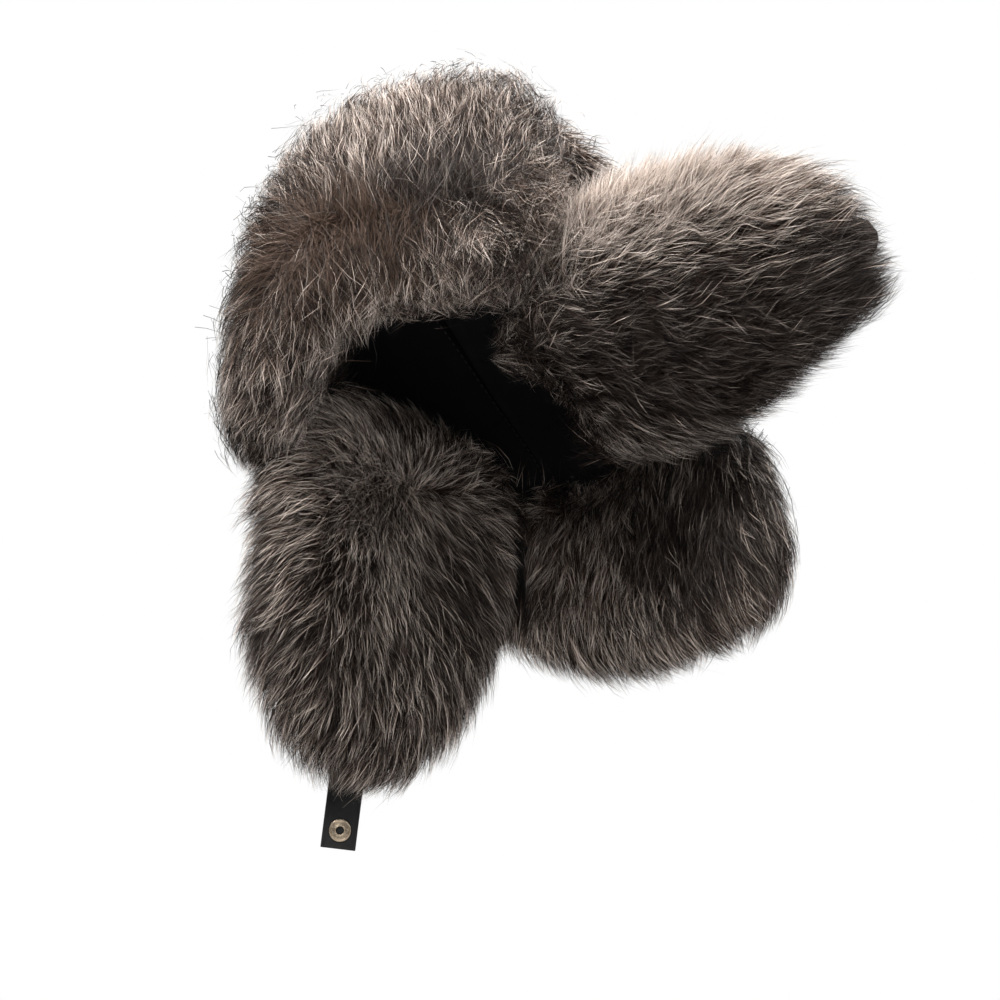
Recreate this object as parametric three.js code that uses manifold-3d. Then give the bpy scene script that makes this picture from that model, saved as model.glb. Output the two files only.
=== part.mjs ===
// A full-fur aviator hat: a fur crown over a black lining sewn from three panels, a fur visor turned
// up over the brow, a fur ear flap hanging on the wearer's right with its closing strap, a fur ear
// flap lifted sideways on the wearer's left, and a fur neck flap between the two. Deep fur is
// modelled as the closed outer form of its pile.
//
// Millimetres, +Z up. The origin is the centre of the head opening in the plane of the rim. The
// wearer faces -Y, and +X is the wearer's left.
import * as THREE from "three";
import { mergeVertices } from "three/addons/utils/BufferGeometryUtils.js";
import Module from "manifold-3d";

const wasm = await Module();
wasm.setup();

// The head opening and the crown. The crown rises straight to STRAIGHT_HEIGHT and is rounded over above it.
const HEAD_HALF_WIDTH = 82.5;
const HEAD_HALF_LENGTH = 100;
const INNER_DEPTH = 150;
const STRAIGHT_HEIGHT = 40;
const DOME_POWER = 2.4;
const LINING_THICK = 2;
const CROWN_PILE = 26;

// The arched seams between the side panels of the lining and its centre strip.
const ARCH_HALF_LENGTH = 97;
const ARCH_HEIGHT = 126;

// The closing strap: the middle of its free end, the way it hangs, and the way its face looks that
// carries the socket.
const STRAP_WIDTH = 20;
const STRAP_THICK = 2;
const STRAP_LENGTH = 62;
const STRAP_END = at(-144, 61, -212.5);
const STRAP_DOWN = at(-0.32, 0.26, -0.91).normalize();
const STRAP_FACING = at(0.525, -0.75, -0.4);

// The snap: a socket riveted through the strap, and the stud on the other ear flap that it closes on.
const SNAP_FROM_END = 10.5;
const SNAP_RADIUS = 6.4;
const SNAP_POST_RADIUS = 3;
const SNAP_HOLE_RADIUS = 2.5;
const SNAP_FLANGE = 1;
const STUD_KNOB_RADIUS = 2.3;
const STUD_KNOB_HEIGHT = 3;
const STUD_FOOT = 9;
const STUD_PLACE = { across: 0, along: 0.88 };

// The clearance between neighbouring pieces, and between two panels of fur, whose edges are thin.
const GAP = 0.4;
const PANEL_GAP = 1;

// How much narrower the very end of a panel is, and how late along it that begins: this rounds its
// corners.
const CORNER_SHARE = 0.3;
const CORNER_POWER = 8;

// How full the pile of a panel is up to its edges: 2 is an ellipse, and more is fuller.
const PILE_POWER = 4;

// How finely round stretches are divided.
const AROUND = 48;
const UP_DOME = 8;
const ACROSS_PANEL = 12;
const ALONG_PANEL = 16;
const ROUND_SNAP = 20;

// Points nearer than this are one point, and slopes are measured over this share of a panel.
const MERGE_WITHIN = 1e-3;
const SLOPE_STEP = 1e-3;

const FINISH = {
  fur: { color: 0x6b625c, roughness: 0.8, metalness: 0 },
  lining: { color: 0x101013, roughness: 0.6, metalness: 0 },
  strap: { color: 0x121213, roughness: 0.6, metalness: 0 },
  brass: { color: 0x8d8374, roughness: 0.35, metalness: 1 },
};

// A point of the hat from its place round the head opening: the angle in degrees is 0 on the
// wearer's left, 90 at the nape and 270 at the brow, out is the distance outwards from the head, and
// up is the height over the rim.
function round(angle, out, up) {
  const turn = THREE.MathUtils.degToRad(angle);
  return new THREE.Vector3(
    (HEAD_HALF_WIDTH + out) * Math.cos(turn),
    (HEAD_HALF_LENGTH + out) * Math.sin(turn),
    up,
  );
}

function at(x, y, z) {
  return new THREE.Vector3(x, y, z);
}

// The fur panels, with a row for each section from the sewn root to the free edge. one, middle and
// other are points across the section. pile has the depth of fur on the side that faces the head when
// the flap is worn down, and then the depth on the other side. A fold pulls the panel in over a width
// round its place across.
const VISOR = {
  folds: [],
  rows: [
    { one: round(318, 10, -4), middle: round(270, 12, -4), other: round(222, 16, -26), pile: [12, 12] },
    { one: round(320, 34, -6), middle: round(270, 34, -6), other: round(215, 40, -56), pile: [18, 13] },
    { one: round(324, 52, 24), middle: round(270, 50, 24), other: round(219, 46, -12), pile: [20, 13] },
    { one: round(327, 54, 80), middle: round(270, 48, 74), other: round(231, 33, 42), pile: [18, 11] },
    { one: round(328, 47, 138), middle: round(275, 39, 130), other: round(247, 26, 88), pile: [13, 9] },
  ],
};
const EAR_FLAP_RIGHT = {
  folds: [],
  rows: [
    { one: round(216, -4, 8), middle: round(172, -17, 30), other: round(120, -11, 13), pile: [16, 12] },
    { one: round(226, 16, -22), middle: round(176, -6, -22), other: round(117, 5, -22), pile: [26, 18] },
    { one: round(228, 32, -54), middle: round(174, 4, -58), other: round(118, 23, -54), pile: [28, 19] },
    { one: round(218, 40, -98), middle: round(171, 17, -102), other: round(124, 34, -100), pile: [30, 20] },
    { one: round(204, 54, -143), middle: round(167, 38, -148), other: round(134, 50, -142), pile: [28, 19] },
    { one: round(192, 60, -172), middle: round(163, 55, -185), other: round(143, 58, -168), pile: [20, 16] },
  ],
};
const NECK_FLAP = {
  folds: [{ across: -0.08, width: 0.16, depth: 16 }],
  rows: [
    { one: round(128, 8, 8), middle: round(72, 8, 8), other: round(24, 8, 8), pile: [20, 16] },
    { one: round(131, 36, -40), middle: round(71, 26, -42), other: round(20, 68, -46), pile: [25, 18] },
    { one: round(127, 45, -77), middle: round(69, 46, -87), other: round(23, 76, -88), pile: [25, 18] },
    { one: round(112, 47, -106), middle: round(66, 58, -122), other: round(30, 83, -120), pile: [19, 15] },
  ],
};
const EAR_FLAP_LEFT = {
  folds: [],
  rows: [
    { one: round(34, -14, -26), middle: round(-12, -22, -24), other: round(-48, -22, -16), pile: [24, 20] },
    { one: at(116, 52, -38), middle: at(114, -18, -10), other: at(102, -83, 37), pile: [28, 26] },
    { one: at(160, 45, -40), middle: at(166, -10, 4), other: at(158, -64, 57), pile: [28, 25] },
    { one: at(212, 34, -25), middle: at(217, -6, 12), other: at(212, -44, 58), pile: [25, 20] },
    { one: at(250, 28, -16), middle: at(254, 2, 14), other: at(244, -28, 54), pile: [18, 15] },
  ],
};

function surface(points, triangles) {
  const geometry = new THREE.BufferGeometry();
  return geometry.setFromPoints(points).setIndex(triangles.flat());
}

// A geometry as a solid that can be joined and cut, and back.
function solidOf(geometry) {
  const bare = new THREE.BufferGeometry().setAttribute("position", geometry.getAttribute("position"));
  const merged = mergeVertices(bare.setIndex(geometry.getIndex()), MERGE_WITHIN);
  return new wasm.Manifold(
    new wasm.Mesh({
      numProp: 3,
      vertProperties: new Float32Array(merged.getAttribute("position").array),
      triVerts: new Uint32Array(merged.getIndex().array),
    }),
  );
}

function geometryOf(solid) {
  const mesh = solid.getMesh();
  const geometry = new THREE.BufferGeometry();
  geometry.setAttribute("position", new THREE.BufferAttribute(mesh.vertProperties, mesh.numProp));
  return geometry.setIndex(new THREE.BufferAttribute(mesh.triVerts, 1));
}

// The biggest body of a cut solid: slivers that a cut leaves behind are dropped.
function biggestBody(solid) {
  return solid.decompose().sort((a, b) => b.volume() - a.volume())[0];
}

// A geometry that stands out by a distance all over.
function swollen(geometry, distance) {
  const merged = mergeVertices(geometry, MERGE_WITHIN);
  merged.computeVertexNormals();
  const places = merged.getAttribute("position");
  const normals = merged.getAttribute("normal");
  for (let i = 0; i < places.count; i++) {
    const place = new THREE.Vector3().fromBufferAttribute(places, i);
    place.addScaledVector(new THREE.Vector3().fromBufferAttribute(normals, i), distance);
    places.setXYZ(i, ...place.toArray());
  }
  return merged;
}

// One level of a dome that stands out from the head by a distance: turn runs from 0 where the
// rounding starts to a quarter turn at the top.
function domeLevel(out, height, turn) {
  const shrink = Math.cos(turn) ** (2 / DOME_POWER);
  const up = STRAIGHT_HEIGHT + (height - STRAIGHT_HEIGHT) * Math.sin(turn) ** (2 / DOME_POWER);
  return Array.from({ length: AROUND }, (_, i) =>
    round((360 * i) / AROUND, out, up).multiply(at(shrink, shrink, 1)),
  );
}

// The levels of a dome from its bottom up, ending in its top point.
function domeLevels(out, height, bottom) {
  const turns = Array.from({ length: UP_DOME }, (_, i) => (i / UP_DOME) * (Math.PI / 2));
  return [
    domeLevel(out, height, 0).map((point) => point.setZ(bottom)),
    ...turns.map((turn) => domeLevel(out, height, turn)),
    [at(0, 0, height)],
  ];
}

// A closed surface over rings of equal count, of which the first and the last are single points.
function ringSurface(rings) {
  const starts = rings.map((_, row) => rings.slice(0, row).reduce((sum, ring) => sum + ring.length, 0));
  const corner = (row, i) => starts[row] + (i % rings[row].length);
  const triangles = [];
  for (let row = 0; row < rings.length - 1; row++) {
    for (let i = 0; i < AROUND; i++) {
      if (rings[row].length > 1) triangles.push([corner(row, i), corner(row, i + 1), corner(row + 1, i)]);
      if (rings[row + 1].length > 1) {
        triangles.push([corner(row, i + 1), corner(row + 1, i + 1), corner(row + 1, i)]);
      }
    }
  }
  return surface(rings.flat(), triangles);
}

// A bowl turned upside down and open at the rim, between two domes that stand out from the head by
// two distances, down to a height.
function domeShell(innerOut, outerOut, bottom) {
  const inside = domeLevels(innerOut, INNER_DEPTH + innerOut, bottom).reverse();
  return ringSurface([...inside, ...domeLevels(outerOut, INNER_DEPTH + outerOut, bottom)]);
}

// The middle surface of a panel, across it from -1 to 1 and along it from 0 at the root to 1 at the
// free edge.
function panelMiddle(panel) {
  const rails = ["one", "middle", "other"].map(
    (name) => new THREE.CatmullRomCurve3(panel.rows.map((row) => row[name]), false, "centripetal"),
  );
  return (across, along) => {
    const [one, middle, other] = rails.map((rail) => rail.getPoint(along));
    const crown = middle.clone().multiplyScalar(2).addScaledVector(one.clone().add(other), -0.5);
    const narrowed = across * (1 - CORNER_SHARE * along ** CORNER_POWER);
    return new THREE.QuadraticBezierCurve3(one, crown, other).getPoint((narrowed + 1) / 2);
  };
}

// How much of a fold's depth applies at a place across a panel.
function foldDepth(panel, across, along) {
  return panel.folds.reduce((sum, fold) => {
    const away = (across - fold.across) / fold.width;
    return sum + fold.depth * along * Math.exp(-away * away);
  }, 0);
}

// The two depths of pile of a panel at a share of the way along it.
function pileDepths(panel, along) {
  const place = along * (panel.rows.length - 1);
  const row = Math.min(Math.floor(place), panel.rows.length - 2);
  const [before, after] = [panel.rows[row].pile, panel.rows[row + 1].pile];
  return before.map((depth, side) => THREE.MathUtils.lerp(depth, after[side], place - row));
}

// A place on a panel: its foot on the middle surface, the way out from the head there, and the two
// depths of pile, which go to nothing at every edge.
function panelPlace(panel, across, along) {
  const middle = panelMiddle(panel);
  const before = middle(across, Math.max(along - SLOPE_STEP, 0));
  const after = middle(across, Math.min(along + SLOPE_STEP, 1));
  const slopeAcross = middle(across + SLOPE_STEP, along).sub(middle(across - SLOPE_STEP, along));
  const outwards = slopeAcross.cross(after.sub(before)).normalize();
  const fullAcross = Math.sqrt(1 - across ** PILE_POWER);
  const fullAlong = Math.sqrt(1 - (2 * along - 1) ** PILE_POWER);
  const [inner, outer] = pileDepths(panel, along).map((depth) => depth * fullAcross * fullAlong);
  const foot = middle(across, along).addScaledVector(outwards, -foldDepth(panel, across, along));
  return { foot, outwards, inner, outer };
}

// A thick sheet of fur as one closed surface: its two faces share their points along every edge.
function panelSurface(panel) {
  const points = [];
  const outerFace = [];
  const innerFace = [];
  for (let j = 0; j <= ALONG_PANEL; j++) {
    for (let i = 0; i <= ACROSS_PANEL; i++) {
      const across = Math.sin((Math.PI / 2) * ((2 * i) / ACROSS_PANEL - 1));
      const along = (1 - Math.cos((Math.PI * j) / ALONG_PANEL)) / 2;
      const { foot, outwards, inner, outer } = panelPlace(panel, across, along);
      outerFace.push(points.length);
      if (i % ACROSS_PANEL === 0 || j % ALONG_PANEL === 0) {
        innerFace.push(points.length);
        points.push(foot);
      } else {
        innerFace.push(points.length + 1);
        points.push(foot.clone().addScaledVector(outwards, outer));
        points.push(foot.clone().addScaledVector(outwards, -inner));
      }
    }
  }
  const triangles = [];
  for (let j = 0; j < ALONG_PANEL; j++) {
    for (let i = 0; i < ACROSS_PANEL; i++) {
      const start = j * (ACROSS_PANEL + 1) + i;
      const corners = [start, start + 1, start + ACROSS_PANEL + 2, start + ACROSS_PANEL + 1];
      const [a, b, c, d] = corners.map((k) => outerFace[k]);
      const [e, f, g, h] = corners.map((k) => innerFace[k]);
      triangles.push([a, b, c], [a, c, d], [e, g, f], [e, h, g]);
    }
  }
  return surface(points, triangles);
}

const hat = new THREE.Group();

function addPiece(name, geometry, finish) {
  geometry.computeVertexNormals();
  const mesh = new THREE.Mesh(geometry, new THREE.MeshStandardMaterial(finish));
  mesh.name = name;
  hat.add(mesh);
  return mesh;
}

// The lining: two side panels with arched seams, and a strip between them from the brow to the nape.
function archRoom(extra, side) {
  const [halfLength, height] = [ARCH_HALF_LENGTH + extra, ARCH_HEIGHT + extra];
  const outline = new THREE.Shape().absellipse(0, 0, halfLength, height, 0, 2 * Math.PI);
  const depth = 2 * HEAD_HALF_WIDTH;
  const arch = new THREE.ExtrudeGeometry(outline, { depth, bevelEnabled: false, curveSegments: AROUND });
  const alongX = new THREE.Matrix4().makeBasis(at(0, 1, 0), at(0, 0, 1), at(1, 0, 0));
  return solidOf(arch.applyMatrix4(alongX).translate(side < 0 ? -depth : 0, 0, 0));
}
const lining = solidOf(domeShell(0, LINING_THICK, 0));
const centreStrip = lining.subtract(archRoom(GAP, 1)).subtract(archRoom(GAP, -1));
const [leftPanel, rightPanel] = [1, -1].map((side) => biggestBody(lining.intersect(archRoom(0, side))));
addPiece("lining_centre", geometryOf(centreStrip), FINISH.lining);
addPiece("lining_side_left", geometryOf(leftPanel), FINISH.lining);
addPiece("lining_side_right", geometryOf(rightPanel), FINISH.lining);

const crownInside = LINING_THICK + GAP;
const crownOutside = crownInside + CROWN_PILE;
addPiece("crown_fur", domeShell(crownInside, crownOutside, 0), FINISH.fur);

// A body turned round its own Z axis, from a profile of [radius, height] points.
function turned(profile) {
  const points = profile.map(([radius, height]) => new THREE.Vector2(radius, height));
  return new THREE.LatheGeometry(points, ROUND_SNAP).rotateX(Math.PI / 2);
}

// A flat strip with its free end at the origin, hanging along +Y, and a hole for the snap.
function strapBlank(extra, holeRadius) {
  const half = STRAP_WIDTH / 2 + extra;
  const outline = new THREE.Shape([
    new THREE.Vector2(-half, -extra),
    new THREE.Vector2(half, -extra),
    new THREE.Vector2(half, STRAP_LENGTH + extra),
    new THREE.Vector2(-half, STRAP_LENGTH + extra),
  ]);
  if (holeRadius) {
    outline.holes.push(new THREE.Path().absarc(0, SNAP_FROM_END, holeRadius, 0, 2 * Math.PI, true));
  }
  const options = {
    depth: STRAP_THICK + 2 * extra,
    bevelEnabled: false,
    curveSegments: ROUND_SNAP / 2,
  };
  return new THREE.ExtrudeGeometry(outline, options).translate(0, 0, -options.depth / 2);
}

// Where the strap hangs: its length runs up from its free end, and its +Z face carries the socket.
const strapUp = STRAP_DOWN.clone().negate();
const strapAcross = strapUp.clone().cross(STRAP_FACING).normalize();
const strapFrame = new THREE.Matrix4()
  .makeBasis(strapAcross, strapUp, strapAcross.clone().cross(strapUp))
  .setPosition(STRAP_END);

// The stud stands in the pile of the left ear flap, on the side away from the head.
const studPlace = panelPlace(EAR_FLAP_LEFT, STUD_PLACE.across, STUD_PLACE.along);
const studTurn = new THREE.Quaternion().setFromUnitVectors(at(0, 0, 1), studPlace.outwards);
const studFrame = new THREE.Matrix4()
  .makeRotationFromQuaternion(studTurn)
  .setPosition(studPlace.foot.clone().addScaledVector(studPlace.outwards, studPlace.outer));
const STUD_PROFILE = [
  [0, -STUD_FOOT],
  [STUD_KNOB_RADIUS, -STUD_FOOT],
  [STUD_KNOB_RADIUS, 0],
  [SNAP_RADIUS, 0],
  [SNAP_RADIUS, SNAP_FLANGE],
  [STUD_KNOB_RADIUS, SNAP_FLANGE],
  [STUD_KNOB_RADIUS, STUD_KNOB_HEIGHT],
  [0, STUD_KNOB_HEIGHT],
];

// Each panel of fur is cut where the crown, the lining, a panel sewn on before it or a fitting
// already is. Its root may stand in the hollow of the crown.
const taken = [solidOf(domeShell(-GAP, crownOutside + GAP, -GAP))];
function addPanel(name, panel, fittings = []) {
  const whole = solidOf(panelSurface(panel));
  const cut = [...taken, ...fittings].reduce((solid, room) => solid.subtract(room), whole);
  addPiece(name, geometryOf(biggestBody(cut)), FINISH.fur);
  taken.push(solidOf(swollen(panelSurface(panel), PANEL_GAP)));
}
addPanel("visor", VISOR);
addPanel("ear_flap_right", EAR_FLAP_RIGHT, [solidOf(strapBlank(GAP, 0).applyMatrix4(strapFrame))]);
addPanel("neck_flap", NECK_FLAP);
const studRoom = turned([
  [0, -STUD_FOOT - GAP],
  [STUD_KNOB_RADIUS + GAP, -STUD_FOOT - GAP],
  [STUD_KNOB_RADIUS + GAP, -GAP],
  [SNAP_RADIUS + GAP, -GAP],
  [SNAP_RADIUS + GAP, STUD_FOOT],
  [0, STUD_FOOT],
]);
addPanel("ear_flap_left", EAR_FLAP_LEFT, [solidOf(studRoom.applyMatrix4(studFrame))]);

addPiece("strap_right", strapBlank(0, SNAP_POST_RADIUS + GAP).applyMatrix4(strapFrame), FINISH.strap);

// The socket: a ring on the face, a post through the strap, and a flat cap behind it.
const face = STRAP_THICK / 2 + GAP;
const socket = turned([
  [0, -face - SNAP_FLANGE],
  [SNAP_RADIUS, -face - SNAP_FLANGE],
  [SNAP_RADIUS, -face],
  [SNAP_POST_RADIUS, -face],
  [SNAP_POST_RADIUS, face],
  [SNAP_RADIUS, face],
  [SNAP_RADIUS, face + SNAP_FLANGE / 2],
  [SNAP_RADIUS - SNAP_FLANGE, face + SNAP_FLANGE],
  [SNAP_HOLE_RADIUS, face + SNAP_FLANGE],
  [SNAP_HOLE_RADIUS, face - SNAP_FLANGE],
  [0, face - SNAP_FLANGE],
]);
addPiece("snap_socket", socket.translate(0, SNAP_FROM_END, 0).applyMatrix4(strapFrame), FINISH.brass);
addPiece("snap_stud", turned(STUD_PROFILE).applyMatrix4(studFrame), FINISH.brass);

export default hat;
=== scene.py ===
"""The looks of a full-fur aviator hat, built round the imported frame.

Lengths are in metres and +Z is up. The wearer faces -Y, and +X is the wearer's left. The fur is
grown on the outer forms that the frame holds: a closed underfur inside each form, and tapering
strands whose tips end at the form.
"""
import logging
import math
from dataclasses import dataclass, field
from enum import Enum

import bpy
import numpy as np
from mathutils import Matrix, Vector, noise
from mathutils.bvhtree import BVHTree
from mathutils.kdtree import KDTree


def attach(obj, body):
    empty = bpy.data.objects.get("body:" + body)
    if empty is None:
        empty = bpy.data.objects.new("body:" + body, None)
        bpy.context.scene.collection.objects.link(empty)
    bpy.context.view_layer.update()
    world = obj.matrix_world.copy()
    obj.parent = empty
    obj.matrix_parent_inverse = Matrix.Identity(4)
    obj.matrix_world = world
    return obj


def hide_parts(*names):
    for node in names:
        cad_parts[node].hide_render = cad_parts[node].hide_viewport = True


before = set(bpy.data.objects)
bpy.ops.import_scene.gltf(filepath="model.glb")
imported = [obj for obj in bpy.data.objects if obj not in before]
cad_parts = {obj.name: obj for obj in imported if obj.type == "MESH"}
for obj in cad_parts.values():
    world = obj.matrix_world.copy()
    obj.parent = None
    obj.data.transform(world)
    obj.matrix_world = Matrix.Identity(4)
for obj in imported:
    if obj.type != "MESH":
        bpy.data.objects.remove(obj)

Array = np.ndarray
Random = np.random.Generator
Piece = bpy.types.Object
Material = bpy.types.Material
Tree = bpy.types.NodeTree
Node = bpy.types.Node
Socket = bpy.types.NodeSocket
Point = tuple[float, float, float]
Colour = tuple[float, float, float]

MM = 0.001
BODY = "root"
LINING_NODES = ("lining_centre", "lining_side_left", "lining_side_right")
STRAND_UV = "OFBake"
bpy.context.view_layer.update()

log = logging.getLogger("aviator_hat")


def unit(vectors: Array) -> Array:
    """Scales each row of vectors to length one."""
    return vectors / np.maximum(np.linalg.norm(vectors, axis=-1, keepdims=True), 1e-12)


def face_vectors(points: Array, faces: Array) -> Array:
    """The normal at the first three corners of each face, as long as twice their area."""
    a, b, c = (points[faces[:, k]] for k in range(3))
    return np.cross(b - a, c - a)


def area_of(vectors: Array) -> float:
    """The area of triangles, from their face vectors."""
    return float(np.linalg.norm(vectors, axis=1).sum() / 2)


def smooth_normals(points: Array, faces: Array) -> Array:
    """The smooth normal at each point of some triangles."""
    vectors, normals = face_vectors(points, faces), np.zeros_like(points)
    for k in range(3):
        np.add.at(normals, faces[:, k], vectors)
    return unit(normals)


def noise_at(places: Array, size: float, shift: Point = (0.0, 0.0, 0.0)) -> Array:
    """Smooth noise from -1 to 1 at some places, with bumps of about a size."""
    return np.array([noise.noise(Vector(p) / size + Vector(shift)) for p in places.tolist()])


def read_rows(elements: bpy.types.bpy_prop_collection, label: str, each: int, kind: type) -> Array:
    """Reads a property of each element of a mesh.

    Args:
        elements: The mesh's vertices, edges or triangles.
        label: The property.
        each: How many numbers it has.
        kind: The kind of number.

    Returns:
        One row for each element.
    """
    values = np.zeros(len(elements) * each, kind)
    elements.foreach_get(label, values)
    return values.reshape(-1, each)


def put(name: str, data: bpy.types.ID) -> Piece:
    """Puts a new object with the given data in the scene."""
    thing = bpy.data.objects.new(name, data)
    bpy.context.scene.collection.objects.link(thing)
    return thing


def mesh_object(
    name: str, points: Array, faces: list | Array, material: Material, smooth: bool = True
) -> Piece:
    """Makes a mesh object and puts it in the scene.

    Args:
        name: The object's name, which its mesh takes too.
        points: One row of three coordinates for each vertex.
        faces: The vertex numbers of each face.
        material: What the faces are finished with.
        smooth: Whether the faces are shaded smooth.

    Returns:
        The new object.
    """
    mesh = bpy.data.meshes.new(name)
    faces = faces.tolist() if isinstance(faces, np.ndarray) else faces
    mesh.from_pydata(np.asarray(points, float).tolist(), [], faces)
    mesh.materials.append(material)
    mesh.shade_smooth() if smooth else mesh.shade_flat()
    return put(name, mesh)


def grid_faces(rows: int, columns: int, closed: bool = False) -> list[tuple[int, int, int, int]]:
    """The faces of a grid of vertices that are numbered row by row.

    Args:
        rows: How many rows of vertices there are.
        columns: How many vertices a row has.
        closed: Whether each row's last vertex joins its first.

    Returns:
        Four vertex numbers for each face.
    """
    faces = []
    for row in range(rows - 1):
        for column in range(columns if closed else columns - 1):
            after = (column + 1) % columns
            low, high = row * columns, (row + 1) * columns
            faces.append((low + column, low + after, high + after, high + column))
    return faces


class NodeTree:
    """A shader node tree with short calls to add nodes and join their sockets."""

    def __init__(self, tree: Tree) -> None:
        """Takes over a tree and clears it."""
        self.tree = tree
        self.tree.nodes.clear()

    def add(self, kind: str, inputs: dict | None = None, **settings: object) -> Node:
        """Adds one node.

        Args:
            kind: The node's type, without its ShaderNode prefix.
            inputs: A value or another node's output socket for each named or numbered input.
            settings: Properties of the node itself.

        Returns:
            The new node.
        """
        prefix = "" if kind.startswith("NodeGroup") else "ShaderNode"
        node = self.tree.nodes.new(prefix + kind)
        for name, value in settings.items():
            setattr(node, name, value)
        self.dress(node, inputs or {})
        return node

    def dress(self, node: Node, inputs: dict) -> None:
        """Gives each named or numbered input of a node a value or another node's output."""
        for name, value in inputs.items():
            self.feed(node.inputs[name], value)

    def feed(self, socket: Socket, value: object) -> None:
        """Gives a socket a value, or joins it to another node's output."""
        if isinstance(value, Socket):
            self.tree.links.new(value, socket)
        elif isinstance(value, tuple) and len(value) == 3 and socket.type == "RGBA":
            socket.default_value = (*value, 1.0)
        else:
            socket.default_value = value

    def maths(self, operation: str, first: object, second: object = 0.0) -> Socket:
        """A sum of one or two numbers, as an output socket."""
        return self.add("Math", {0: first, 1: second}, operation=operation).outputs[0]

    def spread(
        self, value: object, low: float, high: float, to_low: float = 0.0, to_high: float = 1.0
    ) -> Socket:
        """Maps the range low to high of a value onto another range, and keeps to its ends."""
        ends = {"From Min": low, "From Max": high, "To Min": to_low, "To Max": to_high}
        return self.add("MapRange", {"Value": value} | ends).outputs[0]

    def blend(self, share: object, first: object, second: object) -> Socket:
        """Two colours mixed by a share, as an output socket."""
        return self.add("Mix", {0: share, 6: first, 7: second}, data_type="RGBA").outputs[2]

    def ramp(self, value: object, stops: tuple[tuple[float, Colour], ...]) -> Socket:
        """A colour for a value, from stops of a place and its colour."""
        node = self.add("ValToRGB", {"Fac": value})
        elements = node.color_ramp.elements
        while len(elements) < len(stops):
            elements.new(1.0)
        for element, (place, colour) in zip(elements, stops):
            element.position = place
            element.color = (*colour, 1.0)
        return node.outputs["Color"]

    def place(self) -> Socket:
        """The place on the object, as an output socket."""
        return self.add("TexCoord").outputs["Object"]

    def relief(self, height: object, strength: float, distance: float) -> Socket:
        """A normal for a surface that is raised by a height, as an output socket."""
        inputs = {"Height": height, "Strength": strength, "Distance": distance}
        return self.add("Bump", inputs).outputs[0]


def shader_group(
    name: str, inputs: dict[str, object], outputs: dict[str, str]
) -> tuple[Tree, NodeTree, Node, Node]:
    """Starts a shader node group with named sockets.

    Args:
        name: The group's name.
        inputs: A default value for each input, a number or a vector.
        outputs: A socket type for each output.

    Returns:
        The group, its node tree, and its input and output nodes.
    """
    group = bpy.data.node_groups.new(name, "ShaderNodeTree")
    for label, value in inputs.items():
        kind = "NodeSocketVector" if isinstance(value, Vector) else "NodeSocketFloat"
        socket = group.interface.new_socket(label, in_out="INPUT", socket_type=kind)
        socket.default_value = value
    for label, kind in outputs.items():
        group.interface.new_socket(label, in_out="OUTPUT", socket_type=kind)
    tree = NodeTree(group)
    entry = tree.add("NodeGroupInput")
    leave = tree.add("NodeGroupOutput")
    return group, tree, entry, leave


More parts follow.
